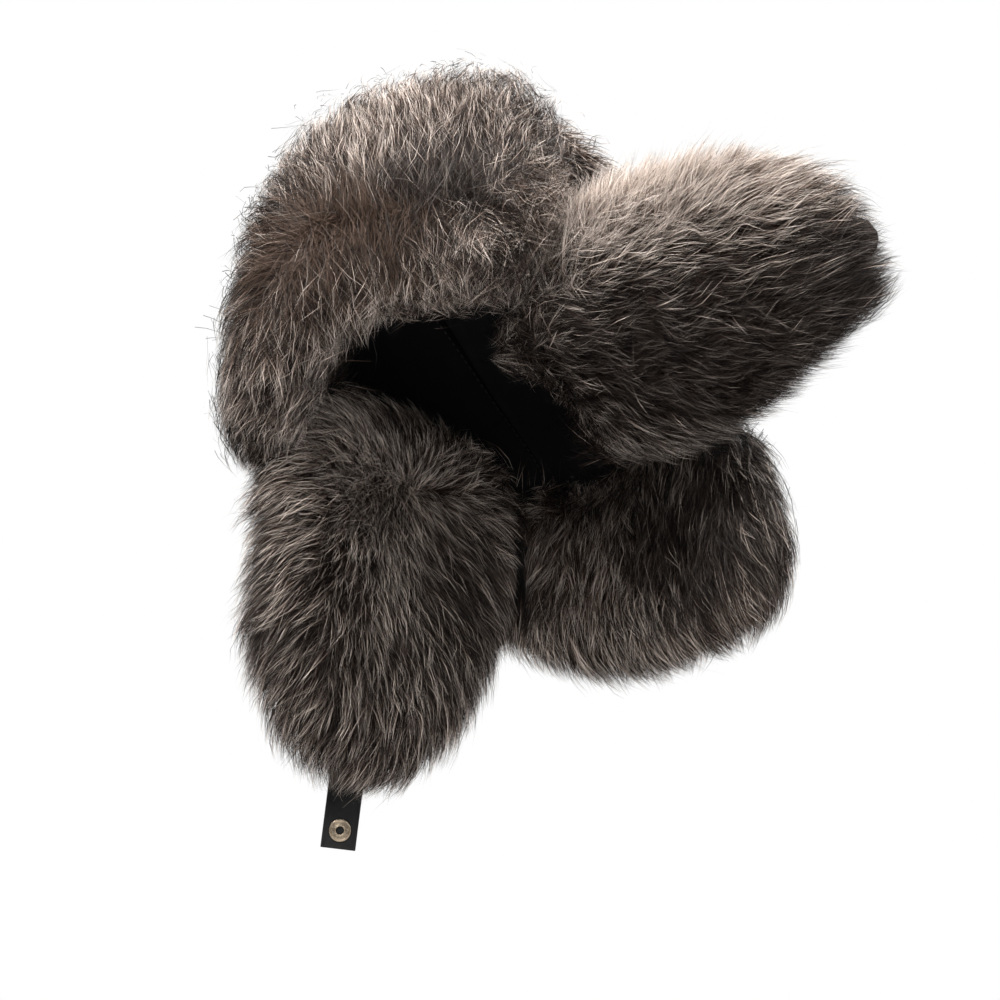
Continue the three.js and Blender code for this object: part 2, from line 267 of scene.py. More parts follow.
class Effects:
    """The shader node groups that several finishes share, each built once."""

    def __init__(self) -> None:
        """Builds every group."""
        self.pelt = self.pelt_colours()
        self.twill = self.twill_weave()
        self.wear = self.worn_patches()

    @staticmethod
    def pelt_colours() -> Tree:
        """Colours of a silver fox's hair by its tone and the place along it. Every kind darkens
        towards the root: partly the hair's own banding, partly painted shade deep in the pile.

        Returns:
            A group with the inputs Tone and Along and the output Color.
        """
        group, tree, entry, leave = shader_group(
            "pelt_colours", {"Tone": 0.5, "Along": 0.5}, {"Color": "NodeSocketColor"}
        )
        tone, along = entry.outputs["Tone"], entry.outputs["Along"]
        # Each ramp runs from root (Along 0) to tip. Its dark root end is partly the hair's own
        # colour and partly painted shade deep in the pile.
        woolly = tree.ramp(
            along,
            (
                (0.0, (0.020, 0.012, 0.009)),
                (0.45, (0.075, 0.047, 0.034)),
                (0.8, (0.125, 0.081, 0.058)),
                (1.0, (0.160, 0.107, 0.079)),
            ),
        )
        woolly = tree.blend(tree.spread(tone, 0.0, 0.28, 0.6, 0.0), woolly, (0.016, 0.010, 0.008))
        dark = tree.ramp(
            along,
            (
                (0.0, (0.003, 0.0020, 0.0016)),
                (0.5, (0.0085, 0.0054, 0.0042)),
                (0.85, (0.021, 0.0142, 0.0113)),
                (1.0, (0.016, 0.0112, 0.0092)),
            ),
        )
        silver = tree.ramp(
            along,
            (
                (0.0, (0.007, 0.005, 0.004)),
                (0.3, (0.032, 0.021, 0.0165)),
                (0.5, (0.26, 0.190, 0.153)),
                (0.78, (0.88, 0.75, 0.655)),
                (1.0, (0.93, 0.825, 0.75)),
            ),
        )
        guard = tree.blend(tree.spread(tone, 0.5, 1.0), dark, silver)
        colour = tree.blend(tree.spread(tone, 0.28, 0.32), woolly, guard)
        tree.feed(leave.inputs["Color"], colour)
        return group

    @staticmethod
    def twill_weave() -> Tree:
        """A fine diagonal weave.

        Returns:
            A group with the inputs Vector and Threads, in threads for each metre, and the outputs
            Height and Mask.
        """
        group, tree, entry, leave = shader_group(
            "twill_weave",
            {"Vector": Vector((0.0, 0.0, 0.0)), "Threads": 1500.0},
            {"Height": "NodeSocketFloat", "Mask": "NodeSocketFloat"},
        )
        place, threads = entry.outputs["Vector"], entry.outputs["Threads"]
        scaled = tree.add("VectorMath", {0: place, "Scale": threads}, operation="SCALE")
        parts = tree.add("SeparateXYZ", {0: scaled.outputs[0]})
        across = tree.maths("ADD", parts.outputs["X"], parts.outputs["Y"])
        diagonal = tree.maths("ADD", across, tree.maths("MULTIPLY", parts.outputs["Z"], 2.0))
        crossing = tree.maths("SUBTRACT", parts.outputs["Z"], across)
        ribs = tree.maths("ABSOLUTE", tree.maths("SINE", diagonal))
        picks = tree.maths("ABSOLUTE", tree.maths("SINE", tree.maths("MULTIPLY", crossing, 0.5)))
        shares = tree.maths("MULTIPLY", ribs, 0.65), tree.maths("MULTIPLY", picks, 0.35)
        weave = tree.maths("ADD", *shares)
        uneven = tree.add("TexNoise", {"Vector": place, "Scale": 60.0, "Detail": 4.0})
        faded = tree.maths("MULTIPLY", weave, tree.spread(uneven.outputs[0], 0.3, 0.7, 0.6, 1.0))
        tree.dress(leave, {"Height": weave, "Mask": faded})
        return group

    @staticmethod
    def worn_patches() -> Tree:
        """Soft patches and fine scratches of wear.

        Returns:
            A group with the inputs Vector and Scale and the outputs Patches and Scratches.
        """
        group, tree, entry, leave = shader_group(
            "worn_patches",
            {"Vector": Vector((0.0, 0.0, 0.0)), "Scale": 200.0},
            {"Patches": "NodeSocketFloat", "Scratches": "NodeSocketFloat"},
        )
        place, scale = entry.outputs["Vector"], entry.outputs["Scale"]
        clouds = {"Vector": place, "Scale": scale, "Detail": 5.0, "Roughness": 0.65}
        soft = tree.add("TexNoise", clouds)
        turned = {"Vector": place, "Scale": (1.0, 9.0, 3.0), "Rotation": (0.4, 0.2, 0.9)}
        stretched = tree.add("Mapping", turned).outputs[0]
        finer = tree.maths("MULTIPLY", scale, 3.0)
        fine = tree.add("TexNoise", {"Vector": stretched, "Scale": finer, "Detail": 3.0})
        patches = tree.spread(soft.outputs[0], 0.38, 0.66)
        scratches = tree.spread(fine.outputs[0], 0.56, 0.68)
        tree.dress(leave, {"Patches": patches, "Scratches": scratches})
        return group


def new_material(name: str) -> tuple[Material, NodeTree, Node]:
    """Starts a material.

    Args:
        name: The material's name.

    Returns:
        The material, its node tree, and its Principled shader, which is joined to the output.
    """
    material = bpy.data.materials.new(name)
    material.use_nodes = True
    tree = NodeTree(material.node_tree)
    shader = tree.add("BsdfPrincipled")
    tree.add("OutputMaterial", {"Surface": shader.outputs["BSDF"]})
    return material, tree, shader


@dataclass(frozen=True)
class GuardHair:
    """Long tapering hair, coloured by its own tone and the place along it."""

    roughness: float = 0.5
    specular: float = 0.15

    def material(self, effects: Effects) -> Material:
        """Makes the material of the strands."""
        material, tree, shader = new_material("guard_hair")
        place = tree.add("SeparateXYZ", {0: tree.add("UVMap", uv_map=STRAND_UV).outputs[0]})
        marks = {"Tone": place.outputs["X"], "Along": place.outputs["Y"]}
        pelt = tree.add("Group", marks, node_tree=effects.pelt)
        surface = {"Base Color": pelt.outputs["Color"], "Roughness": self.roughness}
        tree.dress(shader, surface | {"Specular IOR Level": self.specular})
        return material


@dataclass(frozen=True)
class Underfur:
    """The dense short wool under the guard hair, coloured from the dark root half of the hair's
    colours: partly the wool's own brown, partly painted shade deep in the pile.
    """

    curl_scale: float = 900.0
    patch_scale: float = 45.0
    bump: float = 0.9
    bump_height: float = 2 * MM
    roughness: float = 0.9

    def material(self, effects: Effects) -> Material:
        """Makes the material of the wool."""
        material, tree, shader = new_material("underfur")
        place = tree.place()
        curly = {"Vector": place, "Scale": self.curl_scale, "Detail": 6.0, "Roughness": 0.7}
        curls = tree.add("TexNoise", curly).outputs[0]
        patchy = {"Vector": place, "Scale": self.patch_scale, "Detail": 3.0}
        patches = tree.add("TexNoise", patchy).outputs[0]
        marks = {
            "Tone": tree.spread(patches, 0.35, 0.65, 0.15, 0.45),
            # Along keeps to the root half of the ramps: the wool's own colour, darkened further as
            # painted shade deep in the pile.
            "Along": tree.spread(curls, 0.35, 0.65, 0.0, 0.6),
        }
        pelt = tree.add("Group", marks, node_tree=effects.pelt)
        surface = {"Base Color": pelt.outputs["Color"], "Roughness": self.roughness}
        relief = tree.relief(curls, self.bump, self.bump_height)
        tree.dress(shader, surface | {"Normal": relief})
        return material


@dataclass(frozen=True)
class LiningCloth:
    """Smooth black twill, coloured darker than black cloth is: partly its own black, partly painted
    shade for the dim inside of the hat.
    """

    # Near-black colours: the cloth's own black, darkened further as painted shade for the inside of
    # the hat.
    colour: Colour = (0.0035, 0.0035, 0.004)
    raised: Colour = (0.0075, 0.0075, 0.0085)
    threads: float = 5200.0
    wear_scale: float = 40.0
    wear_share: float = 0.3
    bump: float = 0.35
    bump_height: float = 0.2 * MM
    roughness: float = 0.7
    worn_roughness: float = 0.82
    specular: float = 0.2

    def material(self, effects: Effects) -> Material:
        """Makes the material of the lining."""
        material, tree, shader = new_material("lining_cloth")
        place = tree.place()
        threads = {"Vector": place, "Threads": self.threads}
        weave = tree.add("Group", threads, node_tree=effects.twill)
        size = {"Vector": place, "Scale": self.wear_scale}
        wear = tree.add("Group", size, node_tree=effects.wear)
        cloth = tree.blend(weave.outputs["Mask"], self.colour, self.raised)
        worn = tree.maths("MULTIPLY", wear.outputs["Patches"], self.wear_share)
        rough = tree.spread(wear.outputs["Patches"], 0.0, 1.0, self.roughness, self.worn_roughness)
        surface = {"Base Color": tree.blend(worn, cloth, self.raised), "Roughness": rough}
        relief = tree.relief(weave.outputs["Height"], self.bump, self.bump_height)
        tree.dress(shader, surface | {"Normal": relief, "Specular IOR Level": self.specular})
        return material


@dataclass(frozen=True)
class SewingThread:
    """Twisted black thread, a little lighter than the cloth."""

    colour: Colour = (0.020, 0.020, 0.022)
    light: Colour = (0.045, 0.044, 0.045)
    twist_scale: float = 3200.0
    bump: float = 0.5
    bump_height: float = 0.1 * MM
    roughness: float = 0.55

    def material(self, effects: Effects) -> Material:
        """Makes the material of the stitches."""
        material, tree, shader = new_material("sewing_thread")
        strands = {"Vector": tree.place(), "Threads": self.twist_scale}
        twist = tree.add("Group", strands, node_tree=effects.twill)
        colour = tree.blend(twist.outputs["Mask"], self.colour, self.light)
        relief = tree.relief(twist.outputs["Height"], self.bump, self.bump_height)
        tree.dress(shader, {"Base Color": colour, "Roughness": self.roughness, "Normal": relief})
        return material


@dataclass(frozen=True)
class StrapLeather:
    """Matt black leather with a fine grain and edges rubbed a little lighter."""

    colour: Colour = (0.0035, 0.0035, 0.0038)
    rubbed: Colour = (0.016, 0.0155, 0.015)
    grain_scale: float = 1500.0
    wear_scale: float = 160.0
    edge_share: float = 0.8
    scratch_share: float = 0.15
    bump: float = 0.3
    bump_height: float = 0.15 * MM
    roughness: float = 0.6
    worn_roughness: float = 0.75
    specular: float = 0.25

    def material(self, effects: Effects) -> Material:
        """Makes the material of the strap."""
        material, tree, shader = new_material("strap_leather")
        place = tree.place()
        grain = tree.add("TexVoronoi", {"Vector": place, "Scale": self.grain_scale}, feature="F1")
        size = {"Vector": place, "Scale": self.wear_scale}
        wear = tree.add("Group", size, node_tree=effects.wear)
        edge = tree.add("NewGeometry").outputs["Pointiness"]
        rubbed = tree.maths("MULTIPLY", tree.spread(edge, 0.50, 0.56), self.edge_share)
        scratched = tree.maths("MULTIPLY", wear.outputs["Scratches"], self.scratch_share)
        share = tree.maths("MAXIMUM", rubbed, scratched)
        rough = tree.spread(wear.outputs["Patches"], 0.0, 1.0, self.roughness, self.worn_roughness)
        surface = {"Base Color": tree.blend(share, self.colour, self.rubbed), "Roughness": rough}
        relief = tree.relief(grain.outputs["Distance"], self.bump, self.bump_height)
        tree.dress(shader, surface | {"Normal": relief, "Specular IOR Level": self.specular})
        return material


@dataclass(frozen=True)
class AgedBrass:
    """Antiqued brass: bright where it is rubbed, brown in its hollows."""

    bright: Colour = (0.62, 0.50, 0.36)
    tarnish: Colour = (0.17, 0.135, 0.10)
    wear_scale: float = 420.0
    patch_share: float = 0.75
    bump: float = 0.25
    bump_height: float = 0.05 * MM
    roughness: float = 0.3
    worn_roughness: float = 0.5

    def material(self, effects: Effects) -> Material:
        """Makes the material of the snap."""
        material, tree, shader = new_material("aged_brass")
        marks = {"Vector": tree.place(), "Scale": self.wear_scale}
        wear = tree.add("Group", marks, node_tree=effects.wear)
        edge = tree.spread(tree.add("NewGeometry").outputs["Pointiness"], 0.48, 0.58)
        patches = tree.maths("MULTIPLY", wear.outputs["Patches"], self.patch_share)
        share = tree.maths("MAXIMUM", edge, patches)
        scratches = wear.outputs["Scratches"]
        rough = tree.spread(scratches, 0.0, 1.0, self.roughness, self.worn_roughness)
        surface = {"Base Color": tree.blend(share, self.tarnish, self.bright), "Roughness": rough}
        relief = tree.relief(scratches, self.bump, self.bump_height)
        tree.dress(shader, surface | {"Normal": relief, "Metallic": 1.0})
        return material


@dataclass(frozen=True)
class StudioPaint:
    """The pale floor's faintly uneven paint, lit evenly out to the horizon."""

    low: Colour = (0.82, 0.82, 0.82)
    high: Colour = (0.86, 0.86, 0.86)
    glow: float = 1.16
    glow_share: float = 0.95
    patch_scale: float = 3.0
    roughness: float = 0.8

    def material(self) -> Material:
        """Makes the material of the floor."""
        material, tree, shader = new_material("studio_paint")
        marks = {"Vector": tree.place(), "Scale": self.patch_scale, "Detail": 4.0}
        patches = tree.add("TexNoise", marks)
        paint = tree.blend(patches.outputs[0], self.low, self.high)
        tree.dress(shader, {"Base Color": paint, "Roughness": self.roughness})
        glow = tree.add("Emission", {"Color": paint, "Strength": self.glow})
        ray = tree.add("LightPath").outputs["Is Camera Ray"]
        seen = tree.maths("MULTIPLY", ray, self.glow_share)
        both = tree.add("MixShader", {0: seen, 1: shader.outputs[0], 2: glow.outputs[0]})
        leave = material.node_tree.get_output_node("ALL")
        tree.feed(leave.inputs["Surface"], both.outputs[0])
        return material


class Finishes:
    """Every material of the hat, made once."""

    def __init__(self) -> None:
        """Makes the shared effects and the materials."""
        effects = Effects()
        self.guard_hair = GuardHair().material(effects)
        self.underfur = Underfur().material(effects)
        self.lining = LiningCloth().material(effects)
        self.thread = SewingThread().material(effects)
        self.strap = StrapLeather().material(effects)
        self.brass = AgedBrass().material(effects)


class Slot(Enum):
    """The material slots."""

    FUR = "fur"
    LINING = "lining"
    STRAP = "strap"
    BRASS = "brass"


def settle(piece: Piece, slot: Slot, *nodes: str) -> Piece:
    """Puts a piece on the hat's body and in the place of CAD nodes.

    Args:
        piece: The object.
        slot: A material slot, which is not used.
        nodes: The CAD nodes that it stands for.

    Returns:
        The same object.
    """
    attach(piece, BODY)
    if nodes:
        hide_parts(*nodes)
    return piece


@dataclass
class OuterForm:
    """The closed outer form of a piece's pile, read from the frame."""

    node: str
    edge_boost: float = 5.0
    weld_within: float = 0.01 * MM
    ray_start: float = 0.2 * MM
    open_depth: float = 0.1
    points: Array = field(init=False)
    faces: Array = field(init=False)
    normals: Array = field(init=False)
    tree: BVHTree = field(init=False)

    def __post_init__(self) -> None:
        """Reads and welds the node's mesh, and works out its smooth normals."""
        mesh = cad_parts[self.node].data
        mesh.calc_loop_triangles()
        places = read_rows(mesh.vertices, "co", 3, float)
        keys = np.round(places / self.weld_within).astype(int)
        _, first, welded = np.unique(keys, axis=0, return_index=True, return_inverse=True)
        self.points = places[first]
        self.faces = welded.reshape(-1)[read_rows(mesh.loop_triangles, "vertices", 3, int)]
        self.normals = smooth_normals(self.points, self.faces)
        self.tree = BVHTree.FromPolygons(self.points.tolist(), self.faces.tolist())

    def scatter(self, count: int, rng: Random, seen: Array, hidden: float) -> tuple[Array, Array]:
        """Random places on the form.

        Args:
            count: How many places to make.
            rng: The source of randomness.
            seen: The way that the side looks that shows best.
            hidden: How dense the places are on the other side, against those on this one.

        Returns:
            The places and the smooth normals there.
        """
        vectors = face_vectors(self.points, self.faces)
        ways = unit(vectors)
        shown = np.clip(ways @ seen * 2 + 1, 0, 1)
        bends = 1 - np.einsum("ijk,ik->ij", self.normals[self.faces], ways).min(1)
        weights = np.linalg.norm(vectors, axis=1) * (hidden + (1 - hidden) * shown)
        weights *= 1 + self.edge_boost * bends
        chosen = rng.choice(len(weights), count, p=weights / weights.sum())
        root, share = np.sqrt(rng.random(count)), rng.random(count)
        corners = np.stack([1 - root, root * (1 - share), root * share], 1)[:, :, None]
        places = (self.points[self.faces[chosen]] * corners).sum(1)
        normals = unit((self.normals[self.faces[chosen]] * corners).sum(1))
        return places, normals

    def area(self) -> float:
        """The area of the form."""
        return area_of(face_vectors(self.points, self.faces))

    def depth_under(self, places: Array, normals: Array) -> Array:
        """How thick the form is inwards of each place.

        Args:
            places: Places on the form.
            normals: The outward normals there.

        Returns:
            The distance to the far side, for each place.
        """
        depths = np.full(len(places), self.open_depth)
        for k, (place, normal) in enumerate(zip(places.tolist(), normals.tolist())):
            inwards = -Vector(normal)
            hit = self.tree.ray_cast(Vector(place) + inwards * self.ray_start, inwards)
            if hit[0] is not None:
                depths[k] = hit[3]
        return depths

    def depths(self, places: Array) -> tuple[Array, Array, Array]:
        """How deep places lie inside the form.

        Args:
            places: Any places.

        Returns:
            The depth of each place, negative outside, the nearest place on the form, and the
            outward normal there.
        """
        hits = [self.tree.find_nearest(Vector(place)) for place in places.tolist()]
        nearest = np.array([hit[0] for hit in hits])
        normals = np.array([hit[1] for hit in hits])
        return ((nearest - places) * normals).sum(1), nearest, normals

    def near(self, places: Array, within: float) -> Array:
        """Whether each place lies within a distance of this form."""
        found = (self.tree.find_nearest(Vector(place), within)[0] for place in places.tolist())
        return np.array([place is not None for place in found])


class Quality(Enum):
    """What a patch changes in its hair."""

    SILVER = "silver"
    WOOL = "wool"
    WILD = "wild"
    UPRIGHT = "upright"
    LIFT = "lift"
    PALE = "pale"


class Tone(Enum):
    """The kinds of hair, each with its lowest tone and the range of its tones."""

    WOOLLY = (0.02, 0.26)
    DARK = (0.34, 0.28)
    SILVER = (0.66, 0.34)

    def at(self, within: Array) -> Array:
        """The tones at places within the range, from 0 at its low end to 1 at its high one."""
        return self.value[0] + self.value[1] * within


@dataclass(frozen=True)
class Patch:
    """A stretch of pelt that differs from the rest of its piece.

    silver and wool are what it adds to the shares of silver and of woolly hair, wild is what it
    adds to how far the hair strays, upright is the share by which the hair leans less, lift is how
    much further its tips stand out, and pale is how far down the hair the pale of its tips goes.
    The place, the radius and the lift are in millimetres. On the flaps some patches paint light and
    shade through silver, wool and pale: paler hair where light falls, darker hair where the pile
    lies in shade.
    """

    place: Point
    radius: float
    silver: float = 0.0
    wool: float = 0.0
    wild: float = 0.0
    upright: float = 0.0
    lift: float = 0.0
    pale: float = 0.0


@dataclass(frozen=True)
class Combing:
    """The way that the hair of a piece lies: away from a parting, and along a drift.

    Each swirl is a size and an angle in radians that the hair is turned by here and there. A whorl
    is a parting whose two ends are close together. The ends are in millimetres.
    """

    parting: tuple[Point, Point]
    drift: Point = (0.0, 0.0, 0.0)
    droop: float = 0.0
    swirls: tuple[tuple[float, float], ...] = ((17 * MM, 0.65), (7 * MM, 0.45))

    def from_parting(self, places: Array) -> Array:
        """The line from the nearest point of the parting to each place."""
        start, end = (np.array(p) * MM for p in self.parting)
        line = end - start
        share = np.clip((places - start) @ line / max(line @ line, 1e-12), 0, 1)
        return places - (start + share[:, None] * line)

    def flow(self, places: Array, normals: Array) -> Array:
        """The way that hair lies at some places.

        Args:
            places: Places on the pelt.
            normals: The outward normals there.

        Returns:
            A direction along the surface for each place.
        """
        lie = unit(self.from_parting(places)) + np.array(self.drift) + np.array([0, 0, -self.droop])
        lie = unit(lie - (lie * normals).sum(1, keepdims=True) * normals)
        turn = np.zeros(len(places))
        for size, angle in self.swirls:
            turn += angle * noise_at(places, size)
        return lie * np.cos(turn)[:, None] + np.cross(normals, lie) * np.sin(turn)[:, None]


@dataclass(frozen=True)
class Growth:
    """How the hair of a layer grows. Leans are angles from the normal, in degrees.

    silver and wool are the shares of pale banded hair and of brown woolly hair, and the rest is
    dark. lift is how far the tips end from the outer form, lift_spread how much that differs from
    lock to lock, and stand how far single hairs stand out of their lock.
    """

    count: int
    length: float
    segments: int
    root_lean: float
    tip_lean: float
    width: float
    lift: float
    lift_spread: float
    stand: float
    pull: float
    stray: float
    silver: float
    wool: float


@dataclass
class Bunches:
    """Places that the hair round them is drawn towards."""

    places: Array
    normals: Array

    def nearest(self, places: Array) -> Array:
        """The number of the bunch that is nearest to each place."""
        finder = KDTree(len(self.places))
        for k, place in enumerate(self.places.tolist()):
            finder.insert(place, k)
        finder.balance()
        return np.array([finder.find(place)[1] for place in places.tolist()])


@dataclass
class Pelt:
    """A piece of fur: closed underfur inside its outer form, and strands that end at it."""

    name: str
    node: str
    combing: Combing
    seed: int
    layers: tuple[Growth, ...]
    patches: tuple[Patch, ...] = ()
    beside: tuple[str, ...] = ()
    seen: Point = (0.47, -0.67, -0.57)
    hidden: float = 0.5
    lock_spacing: float = 2.4 * MM
    parting_reach: float = 0.8
    least_laid: float = 0.25
    upright_limits: tuple[float, float] = (-0.3, 0.8)
    room_share: float = 0.42
    least_room: float = 0.15
    coarse: float = 1.0
    widths: tuple[float, float] = (0.6, 1.25)
    taper: float = 2.2
    length_spread: float = 0.15
    tuft_spacing: float = 9 * MM
    tuft_pull: float = 0.5
    tuft_curve: float = 1.4
    tuft_lift: float = 1.7 * MM
    tuft_turn: float = 0.6
    hair_turn: float = 0.55
    lock_curve: float = 1.2
    least_pull: float = 0.35
    most_pale: float = 0.7
    tuft_say: float = 0.2
    lock_say: float = 0.45
    hair_say: float = 0.35
    skin_share: float = 0.36
    skin_depth: float = 13 * MM
    skin_least: float = 0.75
    skin_most: float = 1.35
    lump_size: float = 7 * MM
    lump_share: float = 0.25
    elbow_room: float = 18 * MM
    least_free: float = 0.1
    voxel: float = 5.5 * MM
    smoothing: int = 12
    contact: float = 1.2 * MM
    covered: float = 9 * MM

    def build(self, finishes: Finishes) -> list[Piece]:
        """Builds the underfur and the strands.

        Args:
            finishes: The hat's materials.

        Returns:
            The two pieces.
        """
        self.form = OuterForm(self.node)
        self.neighbours = [OuterForm(node) for node in self.beside]
        wool = self.underfur(finishes.underfur)
        strands = self.strands(finishes.guard_hair)
        settle(wool, Slot.FUR)
        settle(strands, Slot.FUR, self.node)
        return [wool, strands]

    def underfur(self, material: Material) -> Piece:
        """The wool, which lies inside the outer form at a share of its thickness."""
        blank = mesh_object(self.name + "_blank", self.form.points, self.form.faces, material)
        even = blank.modifiers.new("even", "REMESH")
        even.voxel_size = self.voxel
        shape = blank.evaluated_get(bpy.context.evaluated_depsgraph_get()).to_mesh()
        points = read_rows(shape.vertices, "co", 3, float)
        edges = read_rows(shape.edges, "vertices", 2, int)
        faces = [tuple(face.vertices) for face in shape.polygons]
        bpy.data.objects.remove(blank)
        both = np.concatenate([edges, edges[:, ::-1]])
        degree = np.bincount(both[:, 0], minlength=len(points))[:, None]

        def smoothed(places: Array, times: int) -> Array:
            """Places moved towards the middle of the ones that they are joined to."""
            for _ in range(times):
                around = np.zeros_like(places)
                np.add.at(around, both[:, 0], places[both[:, 1]])
                places = 0.5 * places + 0.5 * around / degree
            return places

        points = smoothed(points, self.smoothing)
        normals = smooth_normals(points, np.array([face[:3] for face in faces]))
        _, nearest, outward = self.form.depths(points)
        across, along = (self.form.depth_under(nearest, ways) for ways in (outward, normals))
        thick = np.minimum(across, along)
        free = self.freedom(points)
        depth = np.minimum(self.skin_depth, thick * self.skin_share) * free
        lumps = noise_at(points, self.lump_size)
        points = points - normals * (depth * (1 + self.lump_share * lumps))[:, None]
        for _ in range(2):
            points = smoothed(points, 1)
            sunk, nearest, outward = self.form.depths(points)
            most = np.where(free < 1, self.skin_most * depth, np.inf)
            kept = np.clip(sunk, self.skin_least * depth, most)
            points = np.where((kept != sunk)[:, None], nearest - outward * kept[:, None], points)
        return mesh_object(self.name + "_underfur", points, faces, material)

    def freedom(self, places: Array) -> Array:
        """How free of neighbours places are, from nearly 0 beside one to 1 a little way off."""
        share = np.ones(len(places))
        for other in self.neighbours:
            away = np.linalg.norm(places - other.depths(places)[1], axis=1)
            share = np.minimum(share, np.clip(away / self.elbow_room, self.least_free, 1))
        return share

    def planted(self, count: int, rng: Random) -> tuple[Array, Array]:
        """Places on the outer form that aren't pressed against a neighbour.

        Args:
            count: How many places to make.
            rng: The source of randomness.

        Returns:
            The places and the outward normals there.
        """
        found: list[tuple[Array, Array]] = []
        have = 0
        while have < count:
            places, normals = self.form.scatter(count, rng, np.array(self.seen), self.hidden)
            kept = np.ones(len(places), bool)
            for other in self.neighbours:
                pressed = other.near(places + normals * MM, self.contact)
                if other.node not in LINING_NODES:
                    pressed &= other.depths(places + normals * self.covered)[0] > 0
                kept &= ~pressed
            found.append((places[kept], normals[kept]))
            have += int(kept.sum())
        return tuple(np.concatenate([pair[k] for pair in found])[:count] for k in range(2))

    def patched(self, places: Array, quality: Quality) -> Array:
        """What the patches add to one quality of the hair at some places."""
        added = np.zeros(len(places))
        for patch in self.patches:
            away = np.linalg.norm(places - np.array(patch.place) * MM, axis=1) / (patch.radius * MM)
            most = getattr(patch, quality.value) * (MM if quality is Quality.LIFT else 1)
            added += most * np.exp(-away * away)
        return added

    def tones(self, layer: Growth, places: Array, lock: Array, tuft: Array, rng: Random) -> Array:
        """The tone of each hair, which goes partly by its lock and its tuft.

        Args:
            layer: How the hair grows.
            places: Where each hair ends.
            lock: The number of each hair's lock.
            tuft: The number of each hair's tuft.
            rng: The source of randomness.

        Returns:
            A tone for each hair.
        """
        lots = self.tuft_say * rng.random(tuft.max() + 1)[tuft]
        lots = lots + self.lock_say * rng.random(lock.max() + 1)[lock]
        lots += self.hair_say * rng.random(len(places))
        order = np.argsort(np.argsort(lots)) / len(lots)
        silver = np.clip(layer.silver + self.patched(places, Quality.SILVER), 0, 1)
        wool = np.clip(layer.wool + self.patched(places, Quality.WOOL), 0, 1)
        within = rng.random(len(places))
        tone = np.where(order < wool, Tone.WOOLLY.at(within), Tone.DARK.at(within))
        return np.where(order > 1 - silver, Tone.SILVER.at(within), tone)

    def spines(
        self, layer: Growth, places: Array, normals: Array, sway: Array, length: Array, lift: Array
    ) -> Array:
        """The middle lines of strands whose tips end at the outer form.

        Args:
            layer: How the hair grows.
            places: Places on the outer form.
            normals: The outward normals there.
            sway: How far each strand turns to its side, as a slope at its root and at its tip.
            length: The length of each strand.
            lift: How far each tip stands out from the form.

        Returns:
            For each strand, its points from root to tip.
        """
        lie = self.combing.flow(places, normals)
        side = np.cross(normals, lie)
        thick = self.form.depth_under(places, normals)
        parted = np.linalg.norm(self.combing.from_parting(places), axis=1)
        laid = np.clip(parted / (self.parting_reach * layer.length), self.least_laid, 1)
        upright = np.clip(self.patched(places, Quality.UPRIGHT), *self.upright_limits)
        laid = (laid * (1 - upright))[:, None]
        steps, sunk = [], np.zeros(len(places))
        for k in range(layer.segments):
            share = (k + 0.5) / layer.segments
            lean = math.radians(layer.root_lean + (layer.tip_lean - layer.root_lean) * share) * laid
            turn = (sway[:, :1] * (1 - share) + sway[:, 1:] * share) * side
            step = np.cos(lean) * normals + np.sin(lean) * lie + turn
            steps.append(unit(step) * (length / layer.segments)[:, None])
            sunk += (steps[-1] * normals).sum(1)
        room = np.clip(self.room_share * thick / np.maximum(sunk, 1e-6), self.least_room, 1.0)
        points = [places + normals * lift[:, None]]
        for step in reversed(steps):
            flat = step - (step * normals).sum(1, keepdims=True) * normals * (1 - room)[:, None]
            points.append(points[-1] - flat)
        return np.stack(points[::-1], 1)

    def bunches(self, spacing: float, rng: Random) -> Bunches:
        """Places about a spacing apart that hair is drawn towards."""
        places, normals = self.planted(int(self.form.area() / spacing**2), rng)
        return Bunches(places, normals)

    def strands(self, material: Material) -> Piece:
        """All the hair, as one mesh of tapering ribbons."""
        rng = np.random.default_rng(self.seed)
        locks = self.bunches(self.lock_spacing, rng)
        tufts = self.bunches(self.tuft_spacing, rng)
        points, faces, marks = zip(*(self.grow(layer, locks, tufts, rng) for layer in self.layers))
        starts = np.cumsum([0] + [len(part) for part in points[:-1]])
        faces = np.concatenate([part + start for part, start in zip(faces, starts)])
        marks = np.concatenate(marks)
        piece = mesh_object(self.name + "_strands", np.concatenate(points), faces, material)
        uv = piece.data.uv_layers.new(name=STRAND_UV)
        uv.data.foreach_set("uv", marks[faces.ravel()].ravel())
        return piece

    def grow(
        self, layer: Growth, locks: Bunches, tufts: Bunches, rng: Random
    ) -> tuple[Array, Array, Array]:
        """Grows one layer of hair, drawn together into locks and tufts towards the tips.

        Args:
            layer: How the hair grows.
            locks: The small bunches of hair.
            tufts: The large bunches that the locks are drawn into.
            rng: The source of randomness.

        Returns:
            The ribbons' points, their triangles, and for each point its tone and place along.
        """
        places, normals = self.planted(layer.count, rng)
        lock, tuft = locks.nearest(places), tufts.nearest(locks.places)
        share = np.linspace(0, 1, layer.segments + 1)[None, :, None]

        def random_sway(bunch: Bunches, size: float) -> Array:
            """Random slopes to the side, wilder where a patch says so."""
            wild = 1 + self.patched(bunch.places, Quality.WILD)
            return rng.normal(size=(len(wild), 2)) * size * layer.stray * wild[:, None]

